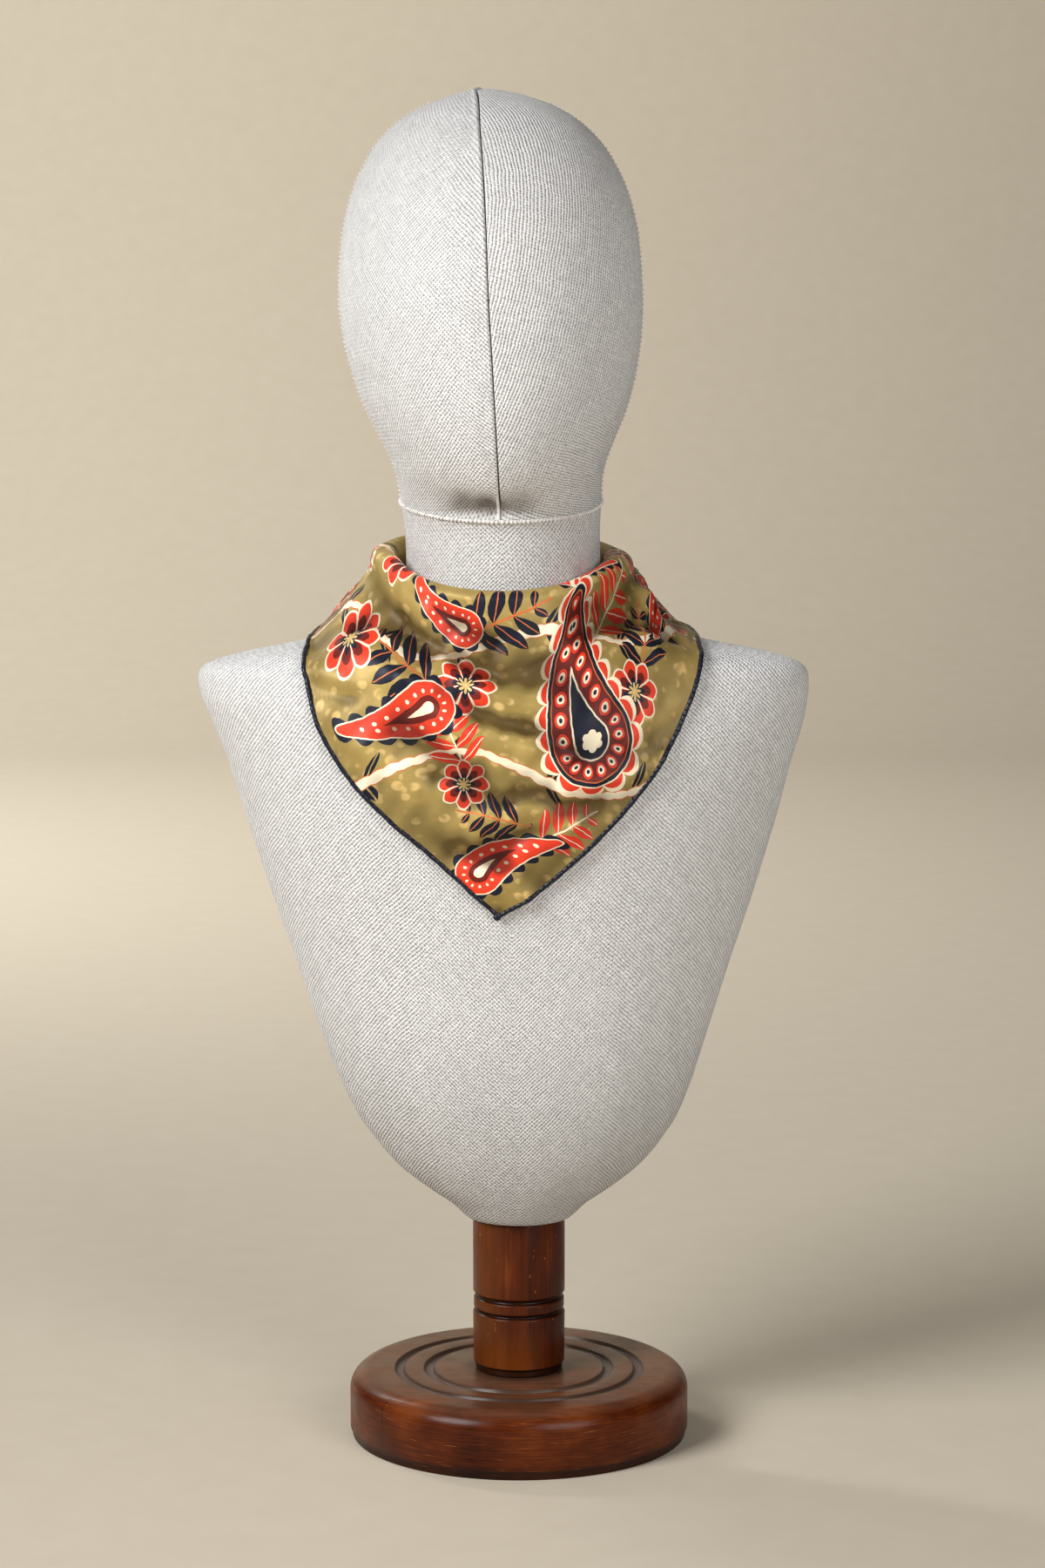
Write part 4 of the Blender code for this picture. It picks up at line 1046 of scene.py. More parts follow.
LOWEST_CLEARANCE = 1.1 * MM
CREASE_RADIUS = 85.0 * MM
FINE_CREASES = 0.35 * MM
PLEAT_HEIGHT, PLEAT_START = 1.5 * MM, 118.0


def crease_lift(points):
    """How far the creases lift the cloth; a direction is laid out flat at a fixed radius."""
    turn = np.arctan2(points[..., 0] - NECK_X, -points[..., 1])
    lines = np.array(CREASES)
    lines[:, (0, 2)] = np.radians(lines[:, (0, 2)]) * CREASE_RADIUS / MM
    return lift_of_lines(np.stack((turn * CREASE_RADIUS, points[..., 2]), axis=-1), lines)


def fine_lift(points):
    """Small unevenness of light silk: three crossed waves of unlike length."""
    x, z = points[..., 0] / MM, points[..., 2] / MM
    waves = np.sin(x * 0.21 + z * 0.13) * np.sin(z * 0.17 - x * 0.07 + 1.3)
    waves = waves + 0.6 * np.sin(x * 0.43 - z * 0.29 + 0.7 * np.sin(z * 0.11))
    return waves * FINE_CREASES


def gather_lift(crest_degrees, share):
    """Pleats that run into the knot: waves across the rib that grow towards the nape."""
    grown = ease(np.abs(crest_degrees), PLEAT_START, SCARF_END)
    return PLEAT_HEIGHT * grown * np.sin(share * 19.0 + 0.02 * crest_degrees) * ease(share, 0.02, 0.2)


def cloth_middle(crest_degrees, share):
    """The draped cloth: plain ribs, laid on the linen, lifted by the creases and kept clear of it.

    The grid's rows run from the hem to the turned-in edge, so its normals look outwards.
    """
    points = rib_point(crest_degrees, share)
    laid = clear_of_form(points, CLOTH_CLEARANCE, 1.0 * MM)
    fade = ease(share, ROLL_SHARE * 0.5, ROLL_SHARE + 0.15)
    lift = (crease_lift(laid) + fine_lift(laid)) * fade + gather_lift(crest_degrees, share)
    rested = clear_of_form(laid + grid_normals(laid) * lift[..., None], LOWEST_CLEARANCE, 0.3 * MM)
    tucked = clear_of_form(points, CLOTH_WALL / 2 + 2 * SEAM_GAP, 0.1 * MM)
    blend = np.clip(share / ROLL_SHARE, 0.0, 1.0)[..., None]
    return tucked + (rested - tucked) * blend


print("creases:", len(CREASES))

# %% [markdown]
# ## A print made of distances
# A printed shape is a distance with a threshold: where the distance to its outline is under a
# width, the colour changes. Thin bands of one distance give outlines, rows of dots and borders.
# The repeats are listed one by one, and every point of the cloth looks up its nearest motif.

# %% Motifs as distances
GOLD, DARK_GOLD, PALE_GOLD = (0.31, 0.226, 0.074, 1), (0.225, 0.161, 0.049, 1), (0.54, 0.385, 0.155, 1)
RED, MAROON, RUST = (0.62, 0.042, 0.017, 1), (0.12, 0.012, 0.008, 1), (0.50, 0.13, 0.04, 1)
IVORY, NAVY = (0.74, 0.66, 0.50, 1), (0.007, 0.009, 0.020, 1)


def nearest(board, cloth, places):
    """Coordinates about the nearest motif; a place is (x, y, size, turn in degrees), in centimetres."""
    best = reach = None
    for x, y, size, turn in places:
        inputs = {"Vector": cloth, "Location": (x, y, 0.0), "Scale": (size, size, 1.0)}
        inputs["Rotation"] = (0.0, 0.0, np.radians(turn))
        here = board.add("ShaderNodeMapping", {"vector_type": "TEXTURE"}, inputs)
        away = board.add("ShaderNodeVectorMath", {"operation": "LENGTH"}, {0: here}, output=1)
        if best is None:
            best, reach = here, away
        else:
            best = board.choose(best, here, away < reach)
            reach = reach.math("MINIMUM", away)
    return board.split(best)[:2]


def paisley_drop(board, place, bulb, tip, height, bend):
    """A paisley drop: two circles on a bent line with their common tangents.

    Below the tangent's foot the distance is that to the bulb's circle, above its head that to the
    tip's circle, and between them that to the tangent. The second value is the walk round the edge.
    """
    x, y = place
    y = y + height / 2
    lifted = y.math("MAXIMUM", 0.0)
    side = abs(x - lifted * lifted * bend)
    slope = (bulb - tip) / height
    lean = np.sqrt(1 - slope ** 2)
    along = y * lean - side * slope
    in_tip = along > lean * height
    in_bulb = along < 0.0
    edge = board.either(side * lean + y * slope - bulb, side.hypot(y - height) - tip, in_tip)
    edge = board.either(edge, side.hypot(y) - bulb, in_bulb)
    round_bulb = side.math("ARCTAN2", 0.0 - y) * bulb
    walked = board.either(along + bulb * (np.pi / 2 + np.arcsin(slope)), round_bulb, in_bulb)
    return edge, walked


def rosette(place, radius, count):
    """Distance outside a flower whose radius is 0.76 + 0.24 |cos(n turn / 2)|, and that wave."""
    x, y = place
    wave = abs((y.math("ARCTAN2", x) * (count / 2)).cos())
    return x.hypot(y) - (wave * 0.24 + 0.76) * radius, wave


def leaf_pairs(along, side, reach, period):
    """How far inside a leaf, and the distance to its midrib: pairs that slant forward off a stem.

    With u the distance from the stem over the reach, a leaf is as wide as u (1 - u) times the reach.
    """
    out = abs(side) / reach
    off = abs((along - abs(side) * 0.6).repeat(period))
    return out * (1.0 - out) * reach - off, off


print("inks over the gold ground:", len((RED, MAROON, RUST, IVORY, NAVY, PALE_GOLD)))

# %% [markdown]
# ## The silk
# The print lies on a gold satin. Drops, rosettes and leaf sprays stand round wavy stems, with plenty of
# ground between them, over soft pale spots. A slight wander of the coordinates makes the outlines as uneven
# as a hand-drawn screen. The satin's shine takes some of the colour of its yarns, so the shader is partly
# metallic. Each point's relief, kept as an attribute, paints shade into the print in the troughs of the cloth
# and a highlight on its ridges. Shade is also painted at the two sides, where the satin turns away from the
# light.

# %% Silk finish
WHIP_PITCH = 3.0 * MM
TROUGH_SHADE, RIDGE_HIGHLIGHT = (0.34, 0.28, 0.21, 1), (1.55, 1.52, 1.46, 1)
SIDE_SHADE = (0.66, 0.65, 0.64, 1)
HEM_DENT_SHADE, HEM_NAVY = (0.003, 0.004, 0.009, 1), (0.009, 0.011, 0.025, 1)
# each motif's places as (x, y, size, turn in degrees), in centimetres on the flat cloth
LARGE_DROPS = ((2.9, -5.2, 1.28, 28.0), (-12.9, 1.2, 0.9, -70.0), (-1.4, 2.4, 1.0, 95.0))
SMALL_DROPS = (
    (-5.2, -7.9, 1.5, 128.0), (0.3, -13.5, 1.3, -40.0), (-3.5, -1.6, 1.15, 72.0), (10.6, -2.7, 1.1, 165.0),
    (5.4, 0.9, 1.1, -80.0))
ROSETTES = (
    (-8.6, -3.9, 1.35, 10.0), (-1.7, -5.2, 1.05, 0.0), (9.6, 0.6, 1.0, 15.0), (-6.4, 0.7, 1.1, 0.0),
    (-1.7, -10.4, 0.85, 0.0), (6.9, -6.2, 1.0, 0.0), (13.4, -1.6, 0.9, 0.0))
NAVY_SPRAYS = (
    (-5.2, -4.5, 1.15, 62.0), (0.1, -1.6, 1.05, -68.0), (8.2, -3.9, 0.9, -20.0), (-0.3, -12.0, 0.75, 80.0))
RED_SPRAYS = ((-2.2, -8.1, 0.85, 20.0), (6.3, -1.7, 0.95, -45.0), (3.0, -12.3, 0.8, -62.0))
# a drop's bulb radius, tip radius, height and bend, in centimetres
LARGE_DROP, SMALL_DROP = (1.62, 0.42, 4.9, 0.085), (0.85, 0.16, 2.9, 0.13)
# a stem's level, the height of its waves, their pace and where they start
STEMS = ((-3.1, 0.9, 0.50, 0.6), (-9.7, 1.0, 0.46, 2.4), (1.6, 0.7, 0.56, 4.0))
# the pale spots' scale, size and strength
SPOTS = ((0.85, 0.32, 0.85), (1.3, 0.38, 0.6))


def gold_ground(board, flat):
    """Gold that is darker in soft patches, under two sizes of pale spots."""
    colour = board.ramp(board.noise(flat, 0.45, detail=3.0), (0.35, DARK_GOLD), (0.62, GOLD))
    for scale, size, share in SPOTS:
        lengthened = board.scaled(flat, (scale, scale * 1.25, 1.0))
        spots = board.add("ShaderNodeTexVoronoi", {}, {"Vector": lengthened, "Scale": 1.0, "Randomness": 0.9})
        spotted = board.fade(spots, size, size * 0.62) * board.fade(board.noise(flat, scale), 0.40, 0.56)
        colour = board.paint(colour, PALE_GOLD, spotted * share)
    return colour


def stems_and_sprays(board, cloth, colour):
    """Wavy stems of uneven thickness with pairs of leaves, then sprays that taper to both ends."""
    x, y, _ = board.split(cloth)
    for level, rise, pace, start in STEMS:
        off = y - ((x * pace + start).sin() * rise + level)
        inside, rib = leaf_pairs(x, off, 1.15, 4.3)
        colour = board.paint(colour, NAVY, (inside > 0.0) & (rib > 0.04))
        thick = (x * 0.8).sin() * 0.05 + abs((x * 4.6).sin()) * 0.07
        colour = board.layers(colour, (RUST, abs(off) < thick + 0.21), (IVORY, abs(off) < thick + 0.16))

    for places, leaf, vein in ((NAVY_SPRAYS, NAVY, RUST), (RED_SPRAYS, RED, IVORY)):
        side, along = nearest(board, cloth, places)
        taper = 1.0 - (along * along) / 6.2
        inside, rib = leaf_pairs(along, side, taper.math("MAXIMUM", 0.02) * 1.75, 0.98)
        on_spray = taper > 0.02
        colour = board.layers(
            colour, (leaf, (inside > 0.0) & on_spray), (vein, (inside > 0.06) & (rib < 0.03) & on_spray),
            (vein, (abs(side) < 0.055) & (abs(along) < 2.35)))
    return colour


def flowers_and_drops(board, cloth, colour):
    """Rosettes, small drops with a row of dots, and large ones with lobes, beads and a flower."""
    flower, wave = rosette(nearest(board, cloth, ROSETTES), 1.45, 8)
    colour = board.layers(
        colour, (IVORY, flower < 0.04), (RED, (flower < -0.06) & (wave > 0.22)),
        (MAROON, (flower < -0.44) & (wave > 0.36)), (NAVY, flower < -0.80), (PALE_GOLD, flower < -1.05))

    edge, walked = paisley_drop(board, nearest(board, cloth, SMALL_DROPS), *SMALL_DROP)
    lobe = abs((walked * (np.pi / 0.62)).cos())
    bead = (edge + 0.30).hypot(walked.repeat(0.44))
    colour = board.layers(
        colour, (NAVY, edge < lobe * 0.26 + 0.02), (IVORY, edge < 0.05), (RED, edge < 0.0),
        (IVORY, bead < 0.07), (MAROON, edge < -0.46), (IVORY, edge < -0.66))

    here = nearest(board, cloth, LARGE_DROPS)
    edge, walked = paisley_drop(board, here, *LARGE_DROP)
    lobe = abs((walked * (np.pi / 0.86)).cos()).math("SQRT")
    colour = board.layers(
        colour, (IVORY, edge < lobe * 0.42 + 0.14), (RED, edge < lobe * 0.36 + 0.02),
        (IVORY, edge < 0.11), (NAVY, edge < 0.05), (RUST, edge < -0.09), (MAROON, edge < -0.13))
    bead = (edge + 0.50).hypot(walked.repeat(0.74))
    flower, _ = rosette((here[0], here[1] + 2.45), 0.42, 6)
    return board.layers(
        colour, (RED, bead < 0.27), (IVORY, bead < 0.17), (NAVY, bead < 0.08),
        (IVORY, edge < -0.90), (NAVY, edge < -0.97), (IVORY, flower < 0.0))


def tinted_by_folds(board, colour):
    """Painted shade in the troughs and at the two sides, and a painted highlight on the ridges, over the
    print.
    """
    relief = board.add("ShaderNodeAttribute", {"attribute_name": "relief"}, output="Fac")
    colour = board.shade(colour, TROUGH_SHADE, board.fade(relief, 0.25 * MM, -1.1 * MM) * 0.88)
    colour = board.shade(colour, RIDGE_HIGHLIGHT, board.fade(relief, 0.0, 1.2 * MM))
    sideways, _, _ = board.split(board.coordinates())
    turned_away = board.fade(sideways, 0.0, 0.07) + board.fade(sideways, -0.078, -0.105) * 0.6
    return board.shade(colour, SIDE_SHADE, turned_away)


def silk_finish():
    """The print from the ground up, each motif painted over what lies below it, on slack satin."""
    board = Board("printed_silk")
    flat = board.scaled(board.coordinates("UV"), (100.0, 100.0, 1.0))
    wander = board.add("ShaderNodeTexNoise", {}, {"Vector": flat, "Scale": 1.6, "Detail": 2.0}, output=1)
    drawn = board.add(
        "ShaderNodeVectorMath", {"operation": "MULTIPLY_ADD"}, {0: wander, 1: (0.14, 0.14, 0.0), 2: flat})
    repeat = {0: drawn, 1: (14.0, 3.2, 1.0), 2: (-14.0, -17.2, -1.0)}
    cloth = board.add("ShaderNodeVectorMath", {"operation": "WRAP"}, repeat)
    colour = stems_and_sprays(board, cloth, gold_ground(board, flat))
    colour = tinted_by_folds(board, flowers_and_drops(board, cloth, colour))
    slack = board.noise(flat, 0.9, detail=3.0)
    weave = board.noise(board.scaled(flat, (14.0, 60.0, 1.0)), 1.0, detail=1.0)
    normal = board.bump(weave, 0.05 * MM, 0.3, board.bump(slack, 1.0 * MM, 0.1))
    return board.finish(
        Base_Color=colour, Roughness=0.46, Metallic=0.15, Normal=normal, Specular_IOR_Level=0.27,
        Sheen_Weight=0.04, Sheen_Roughness=0.35)


def hem_finish():
    """Navy silk rolled and whipped by hand: a glossy cord with a slanting dent at every stitch, painted
    darker in each dent as shade.
    """
    board = Board("rolled_navy_silk")
    around, along, _ = board.split(board.coordinates("UV"))
    twist = (along + around * 0.8) * (np.pi / WHIP_PITCH) + board.noise(board.coordinates(), 90.0) * 3.0
    dents = board.fade(abs(twist.sin()), 0.0, 0.55)
    colour, normal = board.paint(HEM_DENT_SHADE, HEM_NAVY, dents), board.bump(dents, 0.35 * MM, 0.8)
    return board.finish(Base_Color=colour, Roughness=0.3, Normal=normal, Specular_IOR_Level=0.33)


SILK, HEM = silk_finish(), hem_finish()
print("silk nodes:", len(SILK.node_tree.nodes))

# %% [markdown]
# ## One sheet round the neck
# The whole fall is a single grid: each column is a rib, and the rows run from the hem up over the
# fold and down inside. Its flat pattern is the folded square: the hem lies on two lines at right
# angles, and each rib keeps its own length, so the print runs over the cloth as on the real one.

# %% Drape the scarf
SHEET_WALL = 0.55 * MM
RELIEF_ROUNDS = 70
# on the flat pattern the fold's line rises by this much at the ends, from this direction on
CREST_RISE, RISE_START = 80.0 * MM, 72.0
# two short rows carry the cloth on into the rolled hem
LEAD_STEP, LEAD_ROWS = 0.8 * MM, 2
RIB_COUNT, FALL_ROWS, ROLL_ROWS, INNER_ROWS = 301, 84, 19, 18
crest_degrees = np.linspace(-SCARF_END, SCARF_END, RIB_COUNT)
shares = np.concatenate((
    np.linspace(1.0, ROLL_SHARE, FALL_ROWS), np.linspace(ROLL_SHARE, -ROLL_SHARE, ROLL_ROWS)[1:],
    np.linspace(-ROLL_SHARE, -1.0, INNER_ROWS)[1:]))
crest_row = int(np.argmin(np.abs(shares))) + LEAD_ROWS
middle_column = len(crest_degrees) // 2
draped = cloth_middle(*np.meshgrid(crest_degrees, shares))
onward = unit(draped[0] - draped[1]) * LEAD_STEP
draped = np.concatenate((draped[:1] + onward * 2, draped[:1] + onward, draped))


def flat_pattern(points):
    """Flat coordinates of the draped grid on the folded square, in metres.

    The hem's foot lies at (t, |t|) / root 2 above the tip, where t is the length along the hem. The
    fold's point keeps its length along the fold, on a line that rises towards the ends. A rib's
    points share out the line from fold to hem by their own length.
    """
    down = lengths_along(points, 0)[crest_row] - lengths_along(points, 0)
    round_hem = lengths_along(points, 1)[0]
    round_hem = round_hem - round_hem[middle_column]
    hem = np.stack((round_hem, np.abs(round_hem)), axis=-1) / np.sqrt(2)
    hem[:, 1] -= down[0, middle_column]
    risen = np.clip(np.abs(crest_degrees) - RISE_START, 0.0, None) / (SCARF_END - RISE_START)
    rise = CREST_RISE * risen ** 1.5
    steps = np.linalg.norm(np.diff(points[crest_row], axis=0), axis=-1)
    run = np.concatenate(([0.0], np.cumsum(np.sqrt(np.maximum(steps ** 2 - np.diff(rise) ** 2, 0.0)))))
    crest = np.stack((run - run[middle_column], rise), axis=-1)
    line = hem - crest
    scale = np.where(down > 0, 1.0 / down[0], 1.0 / np.linalg.norm(line, axis=-1))
    return crest + line * (down * scale)[..., None]


def relief_of(points, normals, rounds):
    """How far each point stands out of the surface averaged over its neighbours, round after round."""
    smooth = points
    for _ in range(rounds):
        wide = np.pad(smooth, ((1, 1), (1, 1), (0, 0)), mode="reflect", reflect_type="odd")
        smooth = (wide[:-2, 1:-1] + wide[2:, 1:-1] + wide[1:-1, :-2] + wide[1:-1, 2:]) / 4
    return ((points - smooth) * normals).sum(axis=-1)


pattern = flat_pattern(draped)
outward = grid_normals(draped)
# relief: how far each point stands out of its neighbours, which the silk paints as shade in troughs and
# highlight on ridges
relief = relief_of(draped, outward, RELIEF_ROUNDS)
half_wall = outward * SHEET_WALL / 2
scarf = wall("scarf_sheet", draped + half_wall, draped - half_wall, SILK, pattern, relief=relief)
print("relief from", (relief.min() / MM).round(2), "to", (relief.max() / MM).round(2), "mm")
hand_in(scarf, "silk", "scarf_front", "scarf_shoulder_left", "scarf_shoulder_right", "scarf_turn_in")
scarf_area = area_of(draped)

# %% [markdown]
# ## Rolled hem
# The edge is rolled between finger and thumb and whipped down, so it is a cord about 2.5 mm thick
# of slightly uneven thickness. At the point of the triangle the two hems end in a small knob.

# %% Roll the hem
HEM_RINGS = 460
HEM_GAP = 2 * SEAM_GAP
TIP_OVERLAP = 1.9 * MM
KNOB_OFFSET, KNOB_RADII = np.array((-0.3, 0.0, -0.1)) * MM, np.array((2.0, 1.7, 1.9)) * MM
for side, name in ((1, "right"), (-1, "left")):
    columns = middle_column + side * np.arange(middle_column + 1)
    edge, face = draped[LEAD_ROWS, columns], outward[LEAD_ROWS, columns]
    off_edge = unit(np.cross(np.gradient(edge, axis=0), face)) * side
    line = clear_of_form(edge + off_edge * (HEM_GAP + HEM_RADIUS), HEM_GAP + HEM_RADIUS, 0.1 * MM)
    line = np.concatenate((line[:1] - unit(line[1:2] - line[:1]) * TIP_OVERLAP, line))
    places = np.linspace(0.0, len(line) - 1.0, HEM_RINGS)
    line, face = smooth_rows(line, places), unit(smooth_rows(np.concatenate((face[:1], face)), places))
    walk = lengths_along(line[None], 1)[0] / MM
    lumps = 0.06 * np.sin(walk * 0.71) + 0.05 * np.sin(walk * 1.63 + 1.0) + 0.03 * np.sin(walk * 2.9 + side)
    hem = tube("rolled_hem_" + name, line, face, HEM_RADIUS * (1 + lumps), HEM, sides=14)
    hand_in(hem, "hem_silk", "hem_" + name)
    if side > 0:
        tip = line[0]
    print("hem", name, "length", round(walk[-1]), "mm")


def ball(name, centre, radii, finish, rows=20, sides=24):
    """A closed ellipsoid: rings of radius sin b at the height cos b."""
    bend = np.linspace(0.06, np.pi - 0.06, rows)[:, None]
    turn = np.linspace(0.0, 2 * np.pi, sides + 1)[None]
    x, y, z = np.sin(bend) * np.cos(turn), np.sin(bend) * np.sin(turn), -np.cos(bend) + 0 * turn
    return closed(name, centre + np.stack((x, y, z), axis=-1) * radii, finish)


knob = ball("hem_knob", tip + KNOB_OFFSET, KNOB_RADII, HEM)
hand_in(knob, "hem_silk")
print("knob", len(knob.data.polygons), "faces")

# %% [markdown]
# ## The knot and its tails
# Behind the neck the two ends are tied once over each other. The bundle that runs through the knot
# is an ellipsoid with lengthwise pleats, and the end that goes round it is a flat pleated band. The
# tails are what is left of the square's corners: each widens, then tapers to its point.

# %% Tie the knot
KNOT_CENTRE = np.array((NECK_X, 69.5 * MM, 464.0 * MM))
KNOT_RADII = np.array((15.7, 10.4, 12.0)) * MM
BAND_GAP = 0.6 * MM


def knot_bundle():
    """Rings along X: an ellipsoid whose radius is ruffled by waves of its turn."""
    across = np.linspace(-0.985, 0.985, 60)[:, None]
    turn = np.linspace(0.0, 2 * np.pi, 121)[None]
    ruffle = 1 + 0.055 * np.sin(11 * turn + 4 * across) + 0.03 * np.sin(5 * turn - 3 * across + 1)
    radius = np.sqrt(1 - across ** 2) ** 0.8 * ruffle
    shape = np.stack((across + 0 * turn, radius * np.cos(turn), radius * np.sin(turn)), axis=-1)
    return closed("knot_bundle", KNOT_CENTRE + shape * KNOT_RADII, SILK)


def knot_band():
    """A flat band round the bundle: an ellipse in Y and Z, leaning in X, with pleats along it."""
    path = np.linspace(-2.75, 2.75, 110)[:, None]
    turn = np.linspace(0.0, 2 * np.pi, 91)[None]
    half_width = (6.0 + 0.9 * np.cos(2 * path)) * MM
    thick = (1.5 + 0.35 * np.cos(9 * turn + 0.8 * path)) * MM
    across, out = half_width * np.cos(turn), thick * np.sin(turn)
    reach = 1 + 0.02 * np.sin(3 * path)
    x = across - 0.35 * np.sin(path) * KNOT_RADII[2]
    y = (KNOT_RADII[1] + BAND_GAP + out) * reach * np.cos(path)
    z = (KNOT_RADII[2] + BAND_GAP + out) * reach * np.sin(path)
    return closed("knot_band", KNOT_CENTRE + np.stack((x, y, z), axis=-1), SILK)


# share of a tail's length, and its half width there in millimetres
TAIL_WIDTHS = np.array(((0.0, 4.0), (0.25, 8.5), (0.55, 14.5), (0.80, 12.0), (1.0, 0.8)))
# a tail's upper end: its height, and its distance from the neck's axis; then its drop and its run
TAIL_TOP, TAIL_START, TAIL_DROP, TAIL_RUN = 451.0 * MM, 5.5 * MM, 80.0 * MM, 30.0 * MM
# its distance from the linen at its point, what is added to that under the knot, and its folds
TAIL_STANDOFF, TAIL_LIFT, TAIL_FOLDS, DEEPEST_FOLD = 1.6 * MM, 12.5 * MM, 1.3 * MM, -0.4 * MM
TAIL_COLUMNS, TAIL_ROWS, TAIL_HEM_RADIUS = 41, 91, 1.0 * MM
# where the tails' corners lie on the print, to either side
TAIL_PRINT_X = 0.13


def back_face(x, height):
    """Depth of the linen's back behind a point given by its x and height."""
    heights, half_widths, _, backs, centres = FORM_SECTIONS
    across = (x - np.interp(height, heights, centres)) / np.interp(height, heights, half_widths)
    return np.interp(height, heights, backs) * np.sqrt(1 - np.clip(across, -0.98, 0.98) ** 2)


def tail_grid(side):
    """A tail's middle surface: it leaves the knot, widens and tapers, with folds along its length."""
    width, length = np.meshgrid(np.linspace(-1, 1, TAIL_COLUMNS), np.linspace(0.0, 1.0, TAIL_ROWS))
    place = np.interp(length, TAIL_WIDTHS[:, 0], np.arange(len(TAIL_WIDTHS)))
    half_width = smooth_rows(TAIL_WIDTHS, place)[..., 1] * MM
    lean = np.arctan2(side * TAIL_RUN * 1.2 * length ** 0.2, TAIL_DROP)
    x = NECK_X + side * (TAIL_START + TAIL_RUN * length ** 1.2) + width * half_width * np.cos(lean)
    z = TAIL_TOP - TAIL_DROP * length + width * half_width * np.sin(lean)
    folds = TAIL_FOLDS * np.sin(np.pi * width * 1.3 + side) * ease(1 - length, 0.0, 0.7)
    y = back_face(x, z) + TAIL_STANDOFF + TAIL_LIFT * (1 - length) ** 3 + np.maximum(folds, DEEPEST_FOLD)
    return np.stack((x, y, z), axis=-1)


hand_in(knot_bundle(), "silk", "scarf_knot")
hand_in(knot_band(), "silk")
middle_line = TAIL_COLUMNS // 2
for side, name in ((1, "right"), (-1, "left")):
    middle = tail_grid(side)[::-1]
    face = -grid_normals(middle)
    around, along = lengths_along(middle, 1), lengths_along(middle, 0)
    across = around - around[:, middle_line:middle_line + 1] + side * TAIL_PRINT_X
    laid_out = np.stack((across, along), axis=-1)
    half_wall = face * SHEET_WALL / 2
    front, back = (middle + half_wall)[:, ::-1], (middle - half_wall)[:, ::-1]
    tail = wall("tail_sheet_" + name, front, back, SILK, laid_out[:, ::-1])
    hand_in(tail, "silk", "scarf_tail_" + name)
    rim, rim_face = (
        np.concatenate((grid[::-1, 0], grid[:1, middle_line], grid[:, -1]))[2:-2]
        for grid in (middle, face))
    rim_hem = tube("tail_hem_" + name, rim, rim_face, np.full(len(rim), TAIL_HEM_RADIUS), HEM, sides=10)
    hand_in(rim_hem, "hem_silk")
    area_of(middle)

# %% [markdown]
# ## Studio
# The stand is on a pale paper sweep. A large soft light at the upper left draws the folds, and one
# on the right keeps the shaded side open. A third light behind the form falls on the sweep's upright
# wall. The camera is a long lens a little under two metres away, which looks slightly down.

# %% Floor, lights and camera
# in metres: y of the floor's front edge and of its back end, radius of the bend, height, half width
FLOOR_START, FLOOR_END, SWEEP_RADIUS, SWEEP_HEIGHT, SWEEP_HALF_WIDTH = -2.6, 3.1, 1.5, 4.2, 4.5
SHADED_PAPER, BRIGHT_PAPER = (0.638, 0.565, 0.450, 1), (0.658, 0.585, 0.470, 1)
FORM_MIDDLE = (0.0, 0.0, 0.42)
# name, place, where it looks, side in metres, power in watts, colour
LIGHTS = (
    ("key", (-1.45, -1.25, 1.45), FORM_MIDDLE, 1.0, 50.0, (1.0, 0.993, 0.985)),
    ("fill", (1.5, -2.4, 1.3), FORM_MIDDLE, 1.6, 41.0, (1.0, 0.978, 0.96)),
    ("paper_light", (-1.6, 1.65, 1.95), (0.1, 3.9, 0.4), 1.1, 78.0, (1.0, 0.995, 0.965)),
)
ROOM_COLOUR, ROOM_STRENGTH = (1.0, 0.96, 0.90, 1), 0.03
CAMERA_PLACE, CAMERA_TILT = (0.0019, -1.915, 0.585), 7.1
SENSOR_HEIGHT, FOCAL_LENGTH = 36.0, 85.0


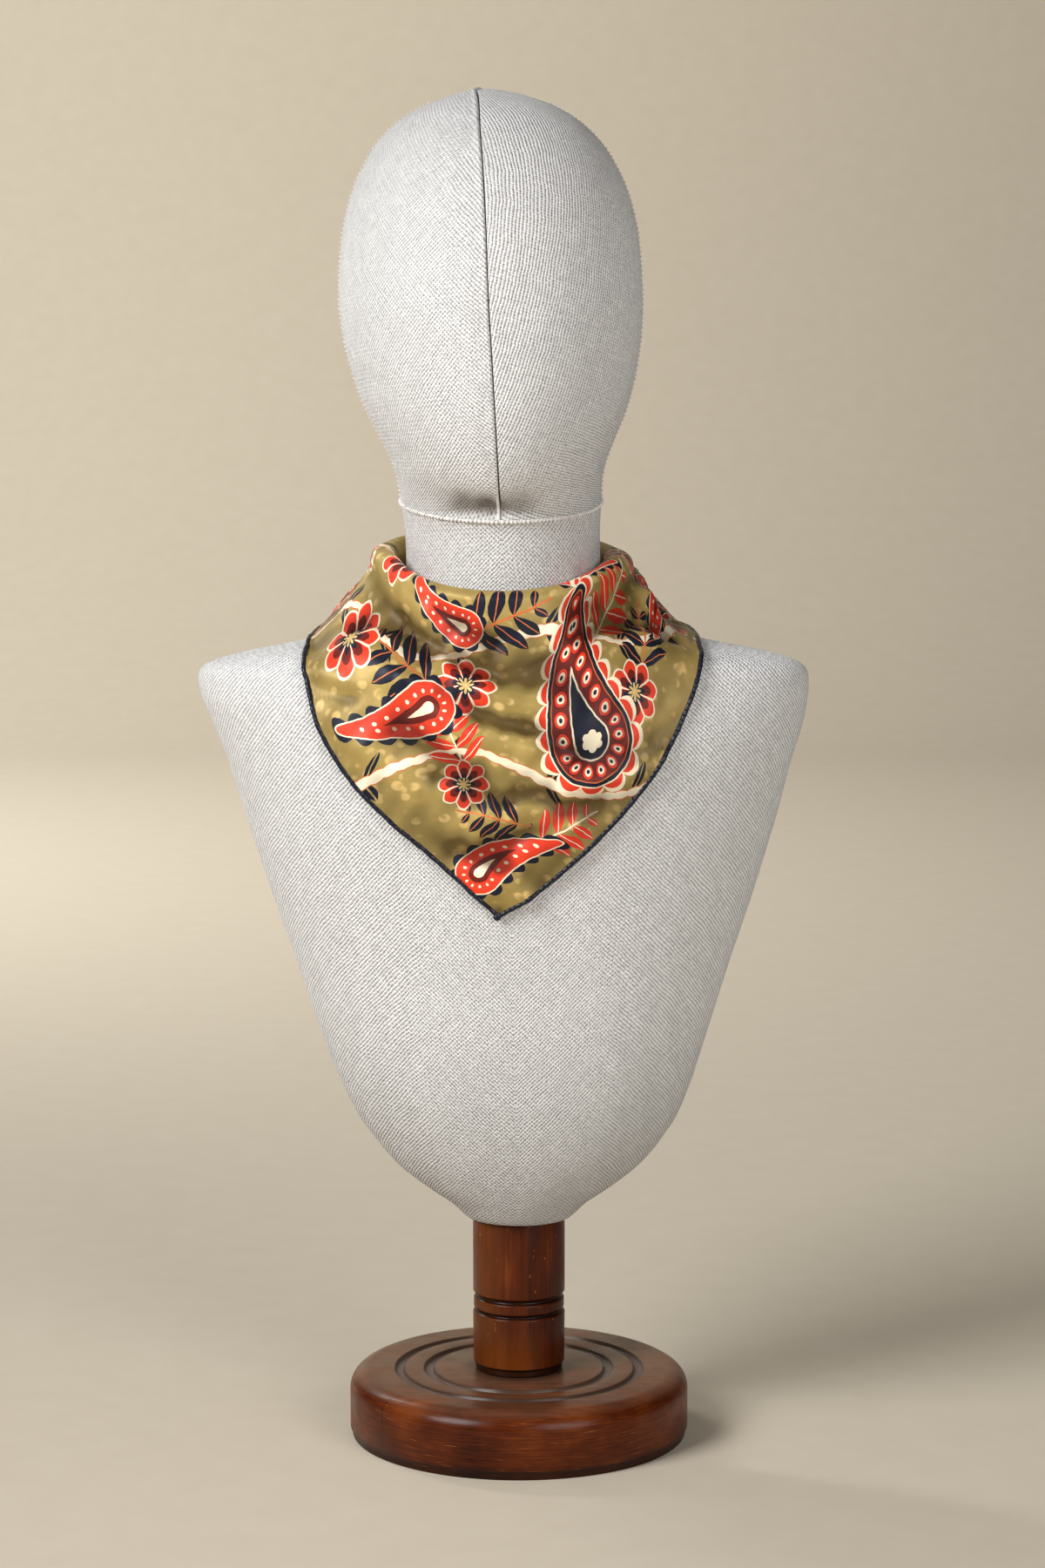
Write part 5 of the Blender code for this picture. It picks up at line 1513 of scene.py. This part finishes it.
def paper_finish():
    """Matt warm-grey paper."""
    board = Board("studio_paper")
    grain = board.noise(board.coordinates(), 40.0, detail=4.0)
    colour = board.ramp(grain, (0.3, SHADED_PAPER), (0.7, BRIGHT_PAPER))
    return board.finish(Base_Color=colour, Roughness=0.95)


def sweep():
    """Floor and background in one: flat, then a quarter circle, then upright."""
    bend = np.linspace(0.0, np.pi / 2, 40)
    wall_depth = FLOOR_END + SWEEP_RADIUS
    depth = np.concatenate(([FLOOR_START], FLOOR_END + SWEEP_RADIUS * np.sin(bend), [wall_depth]))
    height = np.concatenate(([0.0], SWEEP_RADIUS * (1 - np.cos(bend)), [SWEEP_HEIGHT]))
    x, number = np.meshgrid((-SWEEP_HALF_WIDTH, SWEEP_HALF_WIDTH), np.arange(len(depth)))
    points = np.stack((x, depth[number], height[number]), axis=-1)
    faces = grid_faces(np.arange(x.size).reshape(x.shape))
    return make_piece("paper_sweep", points, faces, paper_finish())


def soft_light(name, place, target, size, power, colour):
    """A square area light that looks at a point."""
    data = bpy.data.lights.new(name, "AREA")
    data.shape, data.size, data.energy, data.color = "SQUARE", size, power, colour
    light = bpy.data.objects.new(name, data)
    light.location = place
    light.rotation_euler = (Vector(target) - Vector(place)).to_track_quat("-Z", "Y").to_euler()
    bpy.context.scene.collection.objects.link(light)
    return light


sweep()
[soft_light(*light) for light in LIGHTS]
world = bpy.data.worlds.new("studio")
world.use_nodes = True
room = world.node_tree.nodes["Background"].inputs
room["Color"].default_value, room["Strength"].default_value = ROOM_COLOUR, ROOM_STRENGTH
scene = bpy.context.scene
scene.world = world
scene.view_settings.view_transform = "Standard"

lens = bpy.data.cameras.new("camera")
lens.sensor_fit, lens.sensor_height, lens.lens = "VERTICAL", SENSOR_HEIGHT, FOCAL_LENGTH
camera = bpy.data.objects.new("camera", lens)
camera.location = CAMERA_PLACE
camera.rotation_euler = (np.radians(90 - CAMERA_TILT), 0.0, 0.0)
scene.collection.objects.link(camera)
scene.camera = camera
print("camera", [round(value, 3) for value in camera.location])

# %% [markdown]
